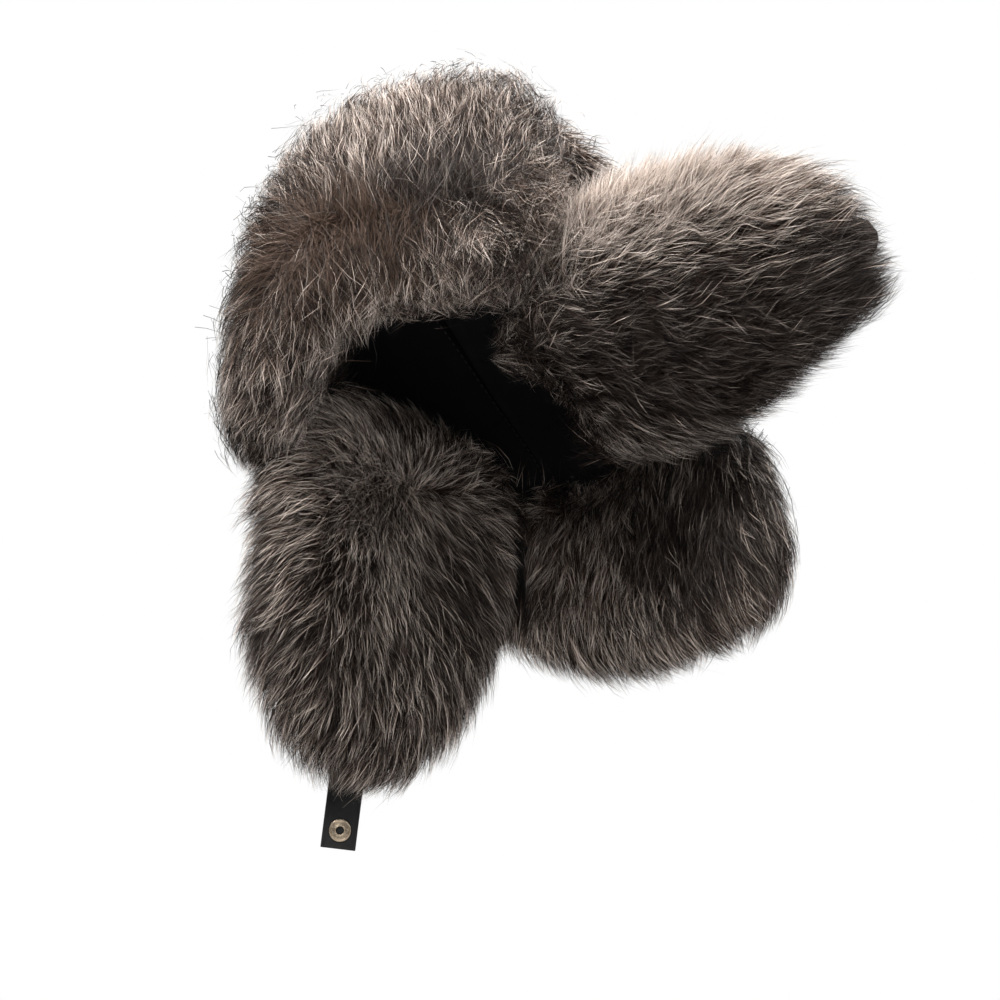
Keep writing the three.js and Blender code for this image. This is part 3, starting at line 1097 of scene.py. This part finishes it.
        tuft_sway = random_sway(tufts, self.tuft_turn)
        tuft_lift = layer.lift + self.tuft_lift * rng.normal(size=len(tufts.places))
        tuft_lift += self.patched(tufts.places, Quality.LIFT)
        tuft_length = np.full(len(tufts.places), layer.length)
        leaders = self.spines(layer, tufts.places, tufts.normals, tuft_sway, tuft_length, tuft_lift)
        lock_sway = random_sway(locks, 1.0) + tuft_sway[tuft]
        lock_length = layer.length * (1 + self.length_spread * rng.normal(size=len(locks.places)))
        lock_lift = tuft_lift[tuft] + layer.lift_spread * rng.normal(size=len(locks.places))
        guides = self.spines(layer, locks.places, locks.normals, lock_sway, lock_length, lock_lift)
        guides += (leaders[tuft] - guides) * self.tuft_pull * share**self.tuft_curve

        sway = lock_sway[lock] + random_sway(Bunches(places, normals), self.hair_turn)
        length = lock_length[lock] * (1 + self.length_spread * rng.normal(size=layer.count))
        stand = layer.stand * (rng.standard_exponential(layer.count) - 1)
        spines = self.spines(layer, places, normals, sway, length, lock_lift[lock] + stand)
        pull = layer.pull * rng.uniform(self.least_pull, 1.0, layer.count)[:, None, None]
        spines += (guides[lock] - spines) * pull * share**self.lock_curve
        tone = self.tones(layer, places, lock, tuft[lock], rng)
        # Patches' pale carries the tip colour further down the strands; on some flap patches this
        # is painted light.
        pale = np.clip(self.patched(places, Quality.PALE), 0, self.most_pale)
        return self.ribbons(layer, spines, normals, tone, pale, rng)

    def ribbons(
        self, layer: Growth, spines: Array, normals: Array, tone: Array, pale: Array, rng: Random
    ) -> tuple[Array, Array, Array]:
        """Tapering ribbons along spines, each turned to face roughly outwards.

        Args:
            layer: How the hair grows.
            spines: The points of each strand from root to tip.
            normals: The outward normal at each strand.
            tone: The tone of each strand.
            pale: How far down each strand the colour of its tip goes; on some patches this is
                painted light.
            rng: The source of randomness.

        Returns:
            The ribbons' points, their triangles, and for each point its tone and place along.
        """
        count, segments = len(spines), layer.segments
        width = self.coarse * layer.width * rng.uniform(*self.widths, count)
        twist = rng.normal(size=count)[:, None]
        points, marks = [], []
        for k in range(segments):
            along = unit(spines[:, k + 1] - spines[:, max(k - 1, 0)])
            across = unit(np.cross(along, normals))
            across = unit(across * np.cos(twist) + np.cross(along, across) * np.sin(twist))
            share = k / segments
            half = (0.5 * width * (1 - share**self.taper))[:, None]
            points += [spines[:, k] - across * half, spines[:, k] + across * half]
            marks += [np.stack([tone, share + (1 - share) * pale], 1)] * 2
        points.append(spines[:, -1])
        marks.append(np.stack([tone, np.ones(count)], 1))
        size = 2 * segments + 1
        cell = []
        for k in range(segments - 1):
            cell += [(2 * k, 2 * k + 1, 2 * k + 3), (2 * k, 2 * k + 3, 2 * k + 2)]
        cell.append((size - 3, size - 2, size - 1))
        faces = (np.arange(count) * size)[:, None, None] + np.array(cell)[None]
        points, marks = np.stack(points, 1).reshape(-1, 3), np.stack(marks, 1).reshape(-1, 2)
        return points, faces.reshape(-1, 3), marks


def fur_layers(wool: int, middle: int, guard: int, awn: int) -> tuple[Growth, ...]:
    """The layers of a pelt: short dense wool, longer hair over it, guard hair and sparse long awns.

    Args:
        wool: How many woolly hairs there are, of one triangle each.
        middle: How many middle hairs there are, of three triangles each.
        guard: How many guard hairs there are, of five triangles each.
        awn: How many awns there are, of five triangles each.

    Returns:
        The four layers.
    """
    return (
        Growth(
            count=wool, length=18 * MM, segments=1, root_lean=42, tip_lean=42, width=0.44 * MM,
            lift=-5 * MM, lift_spread=1.6 * MM, stand=0.8 * MM, pull=0.25, stray=0.35,
            silver=0.0, wool=0.4,
        ),
        Growth(
            count=middle, length=28 * MM, segments=2, root_lean=26, tip_lean=66, width=0.31 * MM,
            lift=-1.8 * MM, lift_spread=1.4 * MM, stand=1.0 * MM, pull=0.7, stray=0.2,
            silver=0.28, wool=0.12,
        ),
        Growth(
            count=guard, length=36 * MM, segments=3, root_lean=20, tip_lean=70, width=0.32 * MM,
            lift=0.8 * MM, lift_spread=1.8 * MM, stand=1.8 * MM, pull=0.75, stray=0.18,
            silver=0.5, wool=0.0,
        ),
        Growth(
            count=awn, length=40 * MM, segments=3, root_lean=15, tip_lean=55, width=0.22 * MM,
            lift=2.6 * MM, lift_spread=1.8 * MM, stand=2.2 * MM, pull=0.3, stray=0.3,
            silver=0.85, wool=0.0,
        ),
    )


@dataclass
class FurPart:
    """A part of the hat that is fur all over."""

    pelts: tuple[Pelt, ...] = ()

    def build(self, finishes: Finishes) -> list[Piece]:
        """Builds the wool and the hair of each pelt."""
        return [piece for pelt in self.pelts for piece in pelt.build(finishes)]


@dataclass
class Crown(FurPart):
    """The fur cap of the head, combed down from its top."""

    pelts: tuple[Pelt, ...] = (
        Pelt(
            name="crown",
            node="crown_fur",
            combing=Combing(((0, 20, 178), (0, 20, 178)), drift=(0, 0.25, 0)),
            seed=11,
            layers=fur_layers(31000, 22000, 16000, 800),
            beside=("visor", "ear_flap_right", "ear_flap_left", "neck_flap") + LINING_NODES,
            patches=(
                Patch((83, -50, 120), 45, silver=0.3, wool=0.4, wild=0.8, upright=0.4, lift=11),
            ),
            seen=(0.0, 0.3, 0.95),
            hidden=0.8,
            coarse=1.3,
        ),
    )


@dataclass
class Visor(FurPart):
    """The front flap, turned up over the brow, parted along its root."""

    pelts: tuple[Pelt, ...] = (
        Pelt(
            name="visor",
            node="visor",
            combing=Combing(((8, -168, 20), (92, -120, 22)), drift=(0, 0, 0.1)),
            seed=23,
            layers=fur_layers(31000, 20000, 16000, 2200),
            patches=(
                Patch((0, -169, 20), 42, silver=-0.7, wool=0.9, pale=0.15),
                Patch((-70, -112, -44), 24, lift=9),
                Patch((-84, -94, -28), 20, upright=0.3, lift=6),
                Patch((30, -140, 118), 42, silver=0.2, upright=0.3, wild=-0.7, pale=0.1),
                Patch((99, -99, 118), 34, silver=0.1, upright=0.5, lift=9),
                Patch((44, -150, 10), 32, silver=-0.5, wool=0.7),
                Patch((-48, -158, 0), 34, silver=-0.35, wool=0.6),
                Patch((72, -138, 44), 32, silver=-0.6, wool=-0.4, wild=1.0, pale=0.2),
                Patch((0, -154, -10), 28, silver=-0.15, wild=0.4, pale=0.15),
                Patch((95, -112, 4), 30, silver=0.1, wild=1.8, upright=0.2, pale=0.2),
                Patch((108, -96, 40), 30, silver=0.1, wool=0.5, wild=1.2, upright=0.2, lift=6),
                Patch((50, -138, 120), 50, silver=0.25, wool=0.2, upright=0.3, lift=2),
                Patch((10, -132, -22), 24, silver=0.25, wild=1.2, upright=0.2, lift=7),
                Patch((52, -116, -18), 24, silver=0.45, wild=1.4, upright=0.2, lift=7),
                Patch((-38, -128, -34), 26, silver=0.1, wild=0.8, lift=7),
            ),
            beside=("crown_fur", "ear_flap_right", "ear_flap_left"),
        ),
    )


@dataclass
class EarFlaps(FurPart):
    """The hanging ear flap, combed out from a whorl at its root, and the lifted one."""

    pelts: tuple[Pelt, ...] = (
        Pelt(
            name="ear_flap_right",
            node="ear_flap_right",
            combing=Combing(
                ((-47, 26, -16), (-53, 12, -24)),
                droop=0.1,
                swirls=((17 * MM, 0.35), (7 * MM, 0.25)),
            ),
            seed=37,
            layers=fur_layers(31000, 22000, 16000, 800),
            patches=(
                Patch((-96, 26, -150), 58, upright=0.3),
                # Painted light: paler, silver hair under the visor's tip, where the visor shades
                # the flap.
                Patch((-62, -54, -44), 44, silver=0.5, wild=-0.5, lift=3, pale=0.45),
                Patch((-51, 17, -25), 30, silver=0.15, pale=0.2),
                Patch((-47, 10, 8), 30, upright=0.4, lift=8),
                Patch((-42, 44, -6), 26, wild=0.3, upright=0.5, lift=11, pale=0.1),
                Patch((-66, 16, -88), 38, silver=0.2, wild=-0.4, pale=0.2),
                Patch((-112, -40, -120), 40, silver=-0.3),
                Patch((-82, -90, -80), 24, lift=6),
                Patch((-84, -84, -38), 22, upright=0.4, lift=7),
                # Painted shade: darker hair on the flap's back part, which is turned away from the
                # light.
                Patch((-60, 66, -90), 46, silver=-0.45, wool=-0.3),
                Patch((-108, 30, -190), 44, lift=8),
            ),
            beside=("crown_fur", "visor", "neck_flap", "lining_side_right"),
        ),
        Pelt(
            name="ear_flap_left",
            node="ear_flap_left",
            combing=Combing(((78, -84, 4), (62, -10, -30)), drift=(0.7, 0, 0)),
            seed=41,
            layers=fur_layers(31000, 22000, 16000, 800),
            patches=(
                # Painted light: paler, silver hair along the flap's top, where the light from above
                # falls.
                Patch((132, -84, 44), 38, silver=0.7, wild=0.6, upright=0.3, lift=8, pale=0.4),
                Patch((180, -68, 60), 42, silver=0.8, upright=0.3, lift=11, pale=0.45),
                Patch((232, -40, 44), 30, silver=0.3, wool=0.5, pale=0.3),
                # Painted shade: less silver and wool, so darker hair, low on the flap, which faces
                # down and away from the light.
                Patch((135, -51, -13), 34, silver=-0.25),
                Patch((238, 4, -10), 36, silver=-0.4, wool=-0.2),
                Patch((176, 6, -44), 62, silver=-0.5, wool=-0.4, upright=0.25),
                Patch((110, -20, -38), 44, silver=-0.3, wool=-0.3, upright=0.15),
                Patch((51, -59, -18), 22, silver=-0.2),
                Patch((92, -84, 4), 26, silver=0.1, wild=1.6, upright=0.3, lift=4),
            ),
            beside=("crown_fur", "visor", "neck_flap", "lining_side_left"),
        ),
    )


@dataclass
class NeckFlap(FurPart):
    """The flap at the nape, combed down from its root."""

    pelts: tuple[Pelt, ...] = (
        Pelt(
            name="neck_flap",
            node="neck_flap",
            combing=Combing(((-14, 94, -8), (110, 52, -8)), droop=0.2),
            seed=53,
            layers=fur_layers(31000, 22000, 16000, 800),
            patches=(
                Patch((2, 105, -69), 34, silver=0.05, wool=0.3),
                # Painted shade: darker hair on this side of the flap, which lies in shade.
                Patch((99, 85, -86), 56, silver=-0.6, wool=-0.7),
                Patch((40, 98, -80), 18, silver=-0.5, wool=-0.3),
                Patch((100, 112, -128), 34, silver=0.1, wool=0.6),
            ),
            beside=("crown_fur", "ear_flap_right", "ear_flap_left", "lining_centre"),
        ),
    )


@dataclass
class Lining:
    """Two side panels and a centre strip, sewn together along arched seams."""

    half_width: float = 82.5 * MM
    half_length: float = 100 * MM
    depth: float = 150 * MM
    straight: float = 40 * MM
    power: float = 2.4
    arch_half_length: float = 97 * MM
    arch_height: float = 126 * MM
    out: float = 0.7 * MM
    cloth: float = 0.9 * MM
    seam_dip: float = 0.9 * MM
    dip_reach: float = 2.2 * MM
    slack: float = 0.5 * MM
    slack_size: float = 26 * MM
    pucker: float = 0.45 * MM
    pucker_size: float = 7 * MM
    pucker_reach: float = 9 * MM
    end_turn: float = 0.03
    side_fullness: float = 1.3
    centre_fullness: float = 1.25
    stitch_inset: float = 5 * MM
    stitch_length: float = 3.2 * MM
    stitch_gap: float = 1.3 * MM
    stitch_ends: float = 0.06
    thread: float = 0.55 * MM
    sunk: float = 0.55 * MM
    columns: int = 72
    rows: int = 22

    def inside(self, places: Array) -> Array:
        """How far out places lie, against the dome of the head: 1 is on it."""
        across = places[:, 0] / (self.half_width + self.out)
        along = places[:, 1] / (self.half_length + self.out)
        over = (places[:, 2] - self.straight) / (self.depth + self.out - self.straight)
        powers = np.hypot(across, along) ** self.power + np.clip(over, 0, None) ** self.power
        return powers ** (1 / self.power)

    def out_to_dome(self, places: Array, ways: Array) -> Array:
        """Moves places along their ways until they lie on the dome.

        Args:
            places: Places inside the dome.
            ways: The way that each one moves.

        Returns:
            Places on the dome.
        """
        low, high = np.zeros(len(places)), np.full(len(places), 0.25)
        for _ in range(36):
            middle = (low + high) / 2
            within = self.inside(places + ways * middle[:, None]) < 1
            low, high = np.where(within, middle, low), np.where(within, high, middle)
        return places + ways * low[:, None]

    def arch(self, turns: Array, share: float | Array = 1.0, side: int = 1) -> Array:
        """Points of a side panel: turns run from brow to nape, and share from rim to seam."""
        y = -self.arch_half_length * np.cos(turns)
        z = self.arch_height * np.sin(turns) * share
        flat = np.stack([np.zeros_like(y), y, z], 1)
        return self.out_to_dome(flat, np.array([[float(side), 0, 0]]) * np.ones((len(y), 1)))

    def outward(self, places: Array) -> Array:
        """The way out through the dome at some places."""
        step = 0.1 * MM
        base = self.inside(places)
        slopes = [(self.inside(places + np.eye(3)[k] * step) - base) / step for k in range(3)]
        return unit(np.stack(slopes, 1))

    def eased(self, places: Array, to_seam: Array, seed: float) -> Array:
        """Lets flat cloth ease: a dip at the seam, puckers beside it and slack further off.

        Args:
            places: Places on the dome.
            to_seam: The distance from each one to its seam.
            seed: Where in the noise the folds are taken from.

        Returns:
            The same places, moved outwards or inwards a little.
        """
        slack = noise_at(places, self.slack_size, (seed, 0, 0))
        fine = noise_at(places, self.pucker_size, (0, seed, 0))
        beside = np.exp(-to_seam / self.pucker_reach)
        dip = self.seam_dip * np.exp(-((to_seam / self.dip_reach) ** 2))
        move = dip - self.slack * (1 + slack) + self.pucker * fine * beside
        return places + self.outward(places) * move[:, None]

    def side_panel(self, side: int, material: Material) -> Piece:
        """One side panel, from the rim up to its arched seam."""
        turns = np.linspace(self.end_turn, math.pi - self.end_turn, self.columns)
        shares = np.linspace(0, 1, self.rows)
        places = np.concatenate([self.arch(turns, share, side) for share in shares])
        seam = np.concatenate([self.arch(turns, 1.0, side)] * self.rows)
        apart = np.linalg.norm(places - seam, axis=1)
        ends = self.arch_half_length * (1 - np.abs(np.cos(np.tile(turns, self.rows))))
        places = self.eased(places, np.minimum(apart, ends + 2 * MM), 3.0 * side)
        node = "lining_side_left" if side > 0 else "lining_side_right"
        return self.sewn(node, places, material)

    def centre_strip(self, material: Material) -> Piece:
        """The strip over the head from brow to nape, between the two seams."""
        turns = np.linspace(0.0, math.pi, self.columns)
        seam = self.arch(turns)
        rows, edges = [], []
        for share in np.linspace(-1, 1, self.rows):
            start = seam * [share, 1, 1]
            ways = unit(start * [0, 1, 1] + [0, 0, 1e-6])
            rows.append(self.out_to_dome(start * 0.999, ways))
            edges.append(seam[:, 0] * (1 - abs(share)))
        places = self.eased(np.concatenate(rows), np.concatenate(edges), 11.0)
        return self.sewn("lining_centre", places, material)

    def sewn(
        self, node: str, places: Array, material: Material
    ) -> Piece:
        """Args:
            node: The CAD node that it stands for.
            places: The panel's points, row by row.
            material: The cloth.

        Returns:
            The panel.
        """
        faces = np.array(grid_faces(self.rows, self.columns))
        piece = mesh_object(node + "_cloth", places, faces, material)
        thick = piece.modifiers.new("thickness", "SOLIDIFY")
        thick.thickness = self.cloth
        vectors = face_vectors(places, faces)
        middle = len(faces) // 2
        facing = vectors[middle] @ self.outward(places[faces[middle, :1]])[0]
        thick.offset = 1.0 if facing > 0 else -1.0
        settle(piece, Slot.LINING, node)
        return piece

    def stitches(self, material: Material) -> Piece:
        """The topstitching beside both seams, as one mesh of short raised stitches."""
        fine = np.linspace(self.stitch_ends, math.pi - self.stitch_ends, 900)
        points, faces = [], []
        for side in (-1, 1):
            line = self.arch(fine, 1.0 - self.stitch_inset / self.arch_height, side)
            steps = np.linalg.norm(np.diff(line, axis=0), axis=1)
            lengths = np.concatenate([[0], np.cumsum(steps)])
            pitch = self.stitch_length + self.stitch_gap
            for start in np.arange(0, lengths[-1] - pitch, pitch):
                stops = start + np.linspace(0, self.stitch_length, 5)
                spine = np.stack([np.interp(stops, lengths, line[:, k]) for k in range(3)], 1)
                self.stitch(spine, points, faces)
        piece = mesh_object("lining_topstitch", np.array(points), faces, material)
        return settle(piece, Slot.LINING)

    def stitch(self, spine: Array, points: list, faces: list) -> None:
        """Adds one stitch, thick in its middle and sunk at its ends, to the points and faces."""
        outward = self.outward(spine)
        along = unit(np.gradient(spine, axis=0))
        across = np.cross(along, outward)
        swell = np.array([0.35, 0.9, 1.0, 0.9, 0.35]) * self.thread / 2
        depth = np.array([0.5, 0.0, -0.1, 0.0, 0.5]) * self.thread - self.sunk
        first = len(points)
        sides = 6
        for k in range(len(spine)):
            centre = spine[k] + outward[k] * depth[k]
            for turn in np.arange(sides) / sides * 2 * math.pi:
                round_it = math.cos(turn) * across[k] + math.sin(turn) * outward[k]
                points.append(centre + swell[k] * round_it)
        for face in grid_faces(len(spine), sides, closed=True):
            faces.append(tuple(first + corner for corner in face))

    def build(self, finishes: Finishes) -> list[Piece]:
        """Builds the three panels and their stitching."""
        return [
            self.side_panel(1, finishes.lining),
            self.side_panel(-1, finishes.lining),
            self.centre_strip(finishes.lining),
            self.stitches(finishes.thread),
        ]


@dataclass(frozen=True)
class Seat:
    """A place on the hat, and the ways across, up along and out of what lies there."""

    centre: Array
    x: Array
    y: Array
    z: Array


@dataclass
class ClosingStrap:
    """The strap that hangs from under the right ear flap, with the socket of its snap."""

    width: float = 20 * MM
    thick: float = 1.9 * MM
    length: float = 62 * MM
    end: Point = (-144, 61, -212.5)
    down: Point = (-0.32, 0.26, -0.91)
    facing: Point = (0.525, -0.75, -0.4)
    corner: float = 0.5 * MM
    edge_line: float = 1.7 * MM
    edge_half: float = 0.7 * MM
    edge_groove: float = 0.22 * MM
    end_narrow: float = 0.5 * MM
    end_thin: float = 0.8
    end_stops: Point = (0.0, 0.4 * MM, 1.2 * MM)
    rows: int = 40
    wave: float = 0.25 * MM
    waves: float = 7.0
    crease: float = 50.0
    snap_lift: float = 0.2 * MM
    snap_from_end: float = 10.5 * MM
    snap_radius: float = 6.4 * MM
    hole_radius: float = 2.5 * MM
    flange: float = 1.0 * MM

    def seat(self) -> Seat:
        """The strap's free end, and its ways."""
        up = -unit(np.array(self.down))
        across = unit(np.cross(up, np.array(self.facing)))
        return Seat(np.array(self.end) * MM, across, up, np.cross(across, up))

    def place(self, across: Array, along: Array, out: Array) -> Array:
        """Points of the strap from their places across it, along it from its end, and out."""
        seat = self.seat()
        flat = seat.centre + across[:, None] * seat.x + along[:, None] * seat.y
        return flat + out[:, None] * seat.z

    def section(self) -> list[tuple[float, float]]:
        """The strap's section, as rounded corners with a pressed line along each edge."""
        half, deep = self.width / 2, self.thick / 2
        profile = []
        for side in (1, -1):
            line, wide = half - self.edge_line, self.edge_half
            groove = [(line - wide, 0.0), (line, -self.edge_groove), (line + wide, 0.0)]
            quarter = [(x, deep + y) for x, y in groove]
            for turn in np.linspace(0, math.pi / 2, 4):
                inwards, down = 1 - math.sin(turn), 1 - math.cos(turn)
                quarter.append((half - self.corner * inwards, deep - self.corner * down))
            mirrored = [(x, -y) for x, y in reversed(quarter)]
            profile += [(side * x, side * y) for x, y in quarter + mirrored]
        return profile

    def strap(self, material: Material) -> Piece:
        """The strap itself, a little uneven along its length, with closed ends."""
        profile = np.array(self.section())
        *ends, straight = self.end_stops
        stops = np.concatenate([ends, np.linspace(straight, self.length, self.rows)])
        points = []
        for stop in stops:
            narrow = 1 - self.end_narrow / self.width if stop == 0 else 1.0
            thin = self.end_thin if stop == 0 else 1.0
            bend = self.wave * math.sin(stop / self.length * self.waves)
            along = np.ones(len(profile)) * stop
            points.append(self.place(profile[:, 0] * narrow, along, profile[:, 1] * thin + bend))
        faces = grid_faces(len(stops), len(profile), closed=True)
        around = range(len(profile))
        last = (len(stops) - 1) * len(profile)
        faces += [tuple(around)[::-1], tuple(last + k for k in around)]
        piece = mesh_object("strap_right_leather", np.concatenate(points), faces, material)
        piece.data.set_sharp_from_angle(angle=math.radians(self.crease))
        settle(piece, Slot.STRAP, "strap_right")
        return piece

    def build(self, finishes: Finishes) -> list[Piece]:
        """Builds the strap and the socket on it."""
        seat, out = self.seat(), self.thick / 2 + self.snap_lift
        middle = seat.centre + seat.y * self.snap_from_end
        front = Seat(middle + seat.z * out, seat.x, seat.y, seat.z)
        back = Seat(middle - seat.z * out, seat.x, -seat.y, -seat.z)
        snap = Snap(self.snap_radius, self.hole_radius, self.flange)
        ring = snap.socket("snap_socket_ring", front, finishes.brass)
        cap = snap.cap("snap_socket_cap", back, finishes.brass)
        settle(ring, Slot.BRASS, "snap_socket")
        settle(cap, Slot.BRASS)
        return [self.strap(finishes.strap), ring, cap]


@dataclass
class Snap:
    """The turned pieces of a ring snap."""

    radius: float
    hole: float
    flange: float
    around: int = 72

    def turned(
        self, name: str, profile: list[tuple[float, float]], seat: Seat, material: Material
    ) -> Piece:
        """Turns a profile round the way out of a seat, and closes it in its middle.

        Args:
            name: The piece's name.
            profile: A radius and a height for each ring, from the back to the front.
            seat: Where the piece sits.
            material: The metal.

        Returns:
            The turned piece.
        """
        turns = np.arange(self.around) / self.around * 2 * math.pi
        ways = [math.cos(turn) * seat.x + math.sin(turn) * seat.y for turn in turns]
        points = [
            seat.centre + radius * way + height * seat.z
            for radius, height in profile
            for way in ways
        ]
        faces = grid_faces(len(profile), self.around, closed=True)
        last = (len(profile) - 1) * self.around
        for k in range(self.around):
            after = (k + 1) % self.around
            faces.append((last + k, last + after, len(points)))
            faces.append((after, k, len(points) + 1))
        points += [seat.centre + profile[end][1] * seat.z for end in (-1, 0)]
        return mesh_object(name, np.array(points), faces, material)

    def socket(self, name: str, seat: Seat, material: Material) -> Piece:
        """The ring that shows, with a rolled rim, a dished face and a deep hole."""
        r, h, f = self.radius, self.hole, self.flange
        rim = [
            (r - 0.55 * f * (1 - math.sin(turn)), 0.5 * f + 0.5 * f * math.cos(turn) * 0.9)
            for turn in np.linspace(math.pi, 0, 9)
        ]
        profile = [(r * 0.6, 0.0)] + rim + [
            (r - 1.0 * f, 0.78 * f),
            (r - 1.6 * f, 0.70 * f),
            (h + 1.1 * f, 0.72 * f),
            (h + 0.5 * f, 0.92 * f),
            (h + 0.15 * f, 1.0 * f),
            (h - 0.1 * f, 0.85 * f),
            (h - 0.25 * f, 0.3 * f),
            (h - 0.3 * f, -0.9 * f),
            (h * 0.5, -1.1 * f),
        ]
        return self.turned(name, profile, seat, material)

    def cap(self, name: str, seat: Seat, material: Material) -> Piece:
        """A low domed cap."""
        r, f = self.radius, self.flange
        profile = [(r * 0.5, 0.0), (r * 0.97, 0.0)]
        for turn in np.linspace(0, math.pi / 2 * 0.94, 9):
            profile.append((r * math.cos(turn), 0.25 * f + 0.7 * f * math.sin(turn)))
        return self.turned(name, profile, seat, material)

    def stud(self, name: str, seat: Seat, foot: float, knob: float, material: Material) -> Piece:
        """The stud that the socket closes on, with its post sunk in the pile."""
        r, f, k = self.radius, self.flange, knob
        profile = [
            (k * 0.9, -foot),
            (k, -foot * 0.9),
            (k, -0.2 * f),
            (r * 0.9, 0.0),
            (r, 0.3 * f),
            (r * 0.96, 0.75 * f),
            (r * 0.85, f),
            (k * 1.3, 0.9 * f),
            (k * 0.86, 1.1 * f),
            (k * 0.8, 1.7 * f),
            (k, 2.2 * f),
            (k * 0.95, 2.7 * f),
            (k * 0.6, 3.0 * f),
        ]
        return self.turned(name, profile, seat, material)


@dataclass
class StudFitting:
    """The stud on the lifted flap, in the place that the frame gives it."""

    radius: float = 6.4 * MM
    hole: float = 2.5 * MM
    flange: float = 1.0 * MM
    knob: float = 2.3 * MM
    foot: float = 9 * MM

    def build(self, finishes: Finishes) -> list[Piece]:
        """Builds the stud along the axis of its CAD node."""
        form = OuterForm("snap_stud")
        middle = form.points.mean(0)
        _, _, ways = np.linalg.svd(form.points - middle)
        reach = form.points - middle
        axis = min(ways, key=lambda way: abs(np.ptp(reach @ way) - (self.foot + 3 * self.flange)))
        wide = np.linalg.norm(reach - np.outer(reach @ axis, axis), axis=1) > 0.9 * self.radius
        axis = axis if (reach @ axis)[wide].mean() > 0 else -axis
        top = middle + axis * (reach @ axis).max()
        x = unit(np.cross(axis, [0.0, 1.0, 0.0]))
        seat = Seat(top - axis * 3 * self.flange, x, np.cross(axis, x), axis)
        snap = Snap(self.radius, self.hole, self.flange)
        piece = snap.stud("snap_stud_brass", seat, self.foot, self.knob, finishes.brass)
        return [settle(piece, Slot.BRASS, "snap_stud")]


@dataclass(frozen=True)
class SoftBox:
    """A round soft light, placed by its distances as the camera sees the hat."""

    name: str
    right: float
    up: float
    near: float
    size: float
    power: float


@dataclass
class Studio:
    """The camera, lights, floor and air round the hat."""

    azimuth: float = 35.0
    elevation: float = -35.0
    distance: float = 1.3
    lens: float = 81.9
    aim: Point = (-9.9, 29.1, -42.1)
    floor_height: float = -1.3
    floor_size: float = 120.0
    clip_end: float = 200.0
    air: float = 0.05
    lamps: tuple[SoftBox, ...] = (
        SoftBox("key_light", right=-0.6, up=1.15, near=0.75, size=0.8, power=54.0),
        SoftBox("front_fill", right=-0.3, up=0.4, near=1.5, size=0.7, power=1.6),
        SoftBox("side_fill", right=0.57, up=0.53, near=0.99, size=0.5, power=4.6),
        SoftBox("top_rim", right=0.6, up=1.3, near=-0.5, size=0.8, power=44.0),
        SoftBox("back_fill", right=-0.9, up=0.3, near=-1.5, size=1.0, power=18.0),
    )

    def back(self) -> Vector:
        """The way from the hat to the camera."""
        a, e = math.radians(self.azimuth), math.radians(self.elevation)
        return Vector((math.sin(a) * math.cos(e), -math.cos(a) * math.cos(e), math.sin(e)))

    def camera(self) -> None:
        """Sets up the camera from the wearer's left, in front and below."""
        data = bpy.data.cameras.new("camera")
        data.lens = self.lens
        data.sensor_width = 36.0
        data.clip_end = self.clip_end
        camera = put("camera", data)
        camera.location = self.back() * self.distance
        aim = Vector(self.aim) * MM
        camera.rotation_euler = (aim - camera.location).to_track_quat("-Z", "Y").to_euler()
        bpy.context.scene.camera = camera

    def lamp(self, box: SoftBox) -> None:
        """Adds a soft box and turns it to the hat."""
        back = self.back()
        across = Vector((0, 0, 1)).cross(back).normalized()
        over = back.cross(across)
        data = bpy.data.lights.new(box.name, "AREA")
        data.shape = "DISK"
        data.size = box.size
        data.energy = box.power
        lamp = put(box.name, data)
        lamp.location = across * box.right + over * box.up + back * box.near
        lamp.rotation_euler = (-lamp.location).to_track_quat("-Z", "Y").to_euler()

    def world(self) -> None:
        """Fills the air with faint light, and shows white behind the hat."""
        world = bpy.data.worlds.new("studio_air")
        bpy.context.scene.world = world
        world.use_nodes = True
        tree = NodeTree(world.node_tree)
        seen = tree.add("Background", {"Color": (1.0, 1.0, 1.0), "Strength": 1.0})
        lit = tree.add("Background", {"Color": (0.97, 0.98, 1.0), "Strength": self.air})
        ray = tree.add("LightPath").outputs["Is Camera Ray"]
        mix = tree.add("MixShader", {0: ray, 1: lit.outputs[0], 2: seen.outputs[0]})
        tree.add("OutputWorld", {"Surface": mix.outputs[0]})
        bpy.context.scene.view_settings.view_transform = "Standard"

    def floor(self) -> None:
        """Lays the pale floor well under the hat."""
        half = self.floor_size / 2
        corners = [(-half, -half), (half, -half), (half, half), (-half, half)]
        points = np.array([(x, y, self.floor_height) for x, y in corners])
        paint = StudioPaint().material()
        mesh_object("studio_floor", points, [(0, 1, 2, 3)], paint, smooth=False)

    def build(self) -> None:
        """Builds the studio."""
        self.camera()
        self.world()
        self.floor()
        for box in self.lamps:
            self.lamp(box)


def main() -> None:
    """Builds the hat and its studio, and reports each piece."""
    logging.basicConfig(level=logging.INFO, format="%(name)s: %(message)s")
    Studio().build()
    finishes = Finishes()
    parts = (Lining(), Crown(), Visor(), EarFlaps(), NeckFlap(), ClosingStrap(), StudFitting())
    for part in parts:
        for piece in part.build(finishes):
            log.info("%s has %d faces", piece.name, len(piece.data.polygons))


if __name__ == "__main__":
    main()
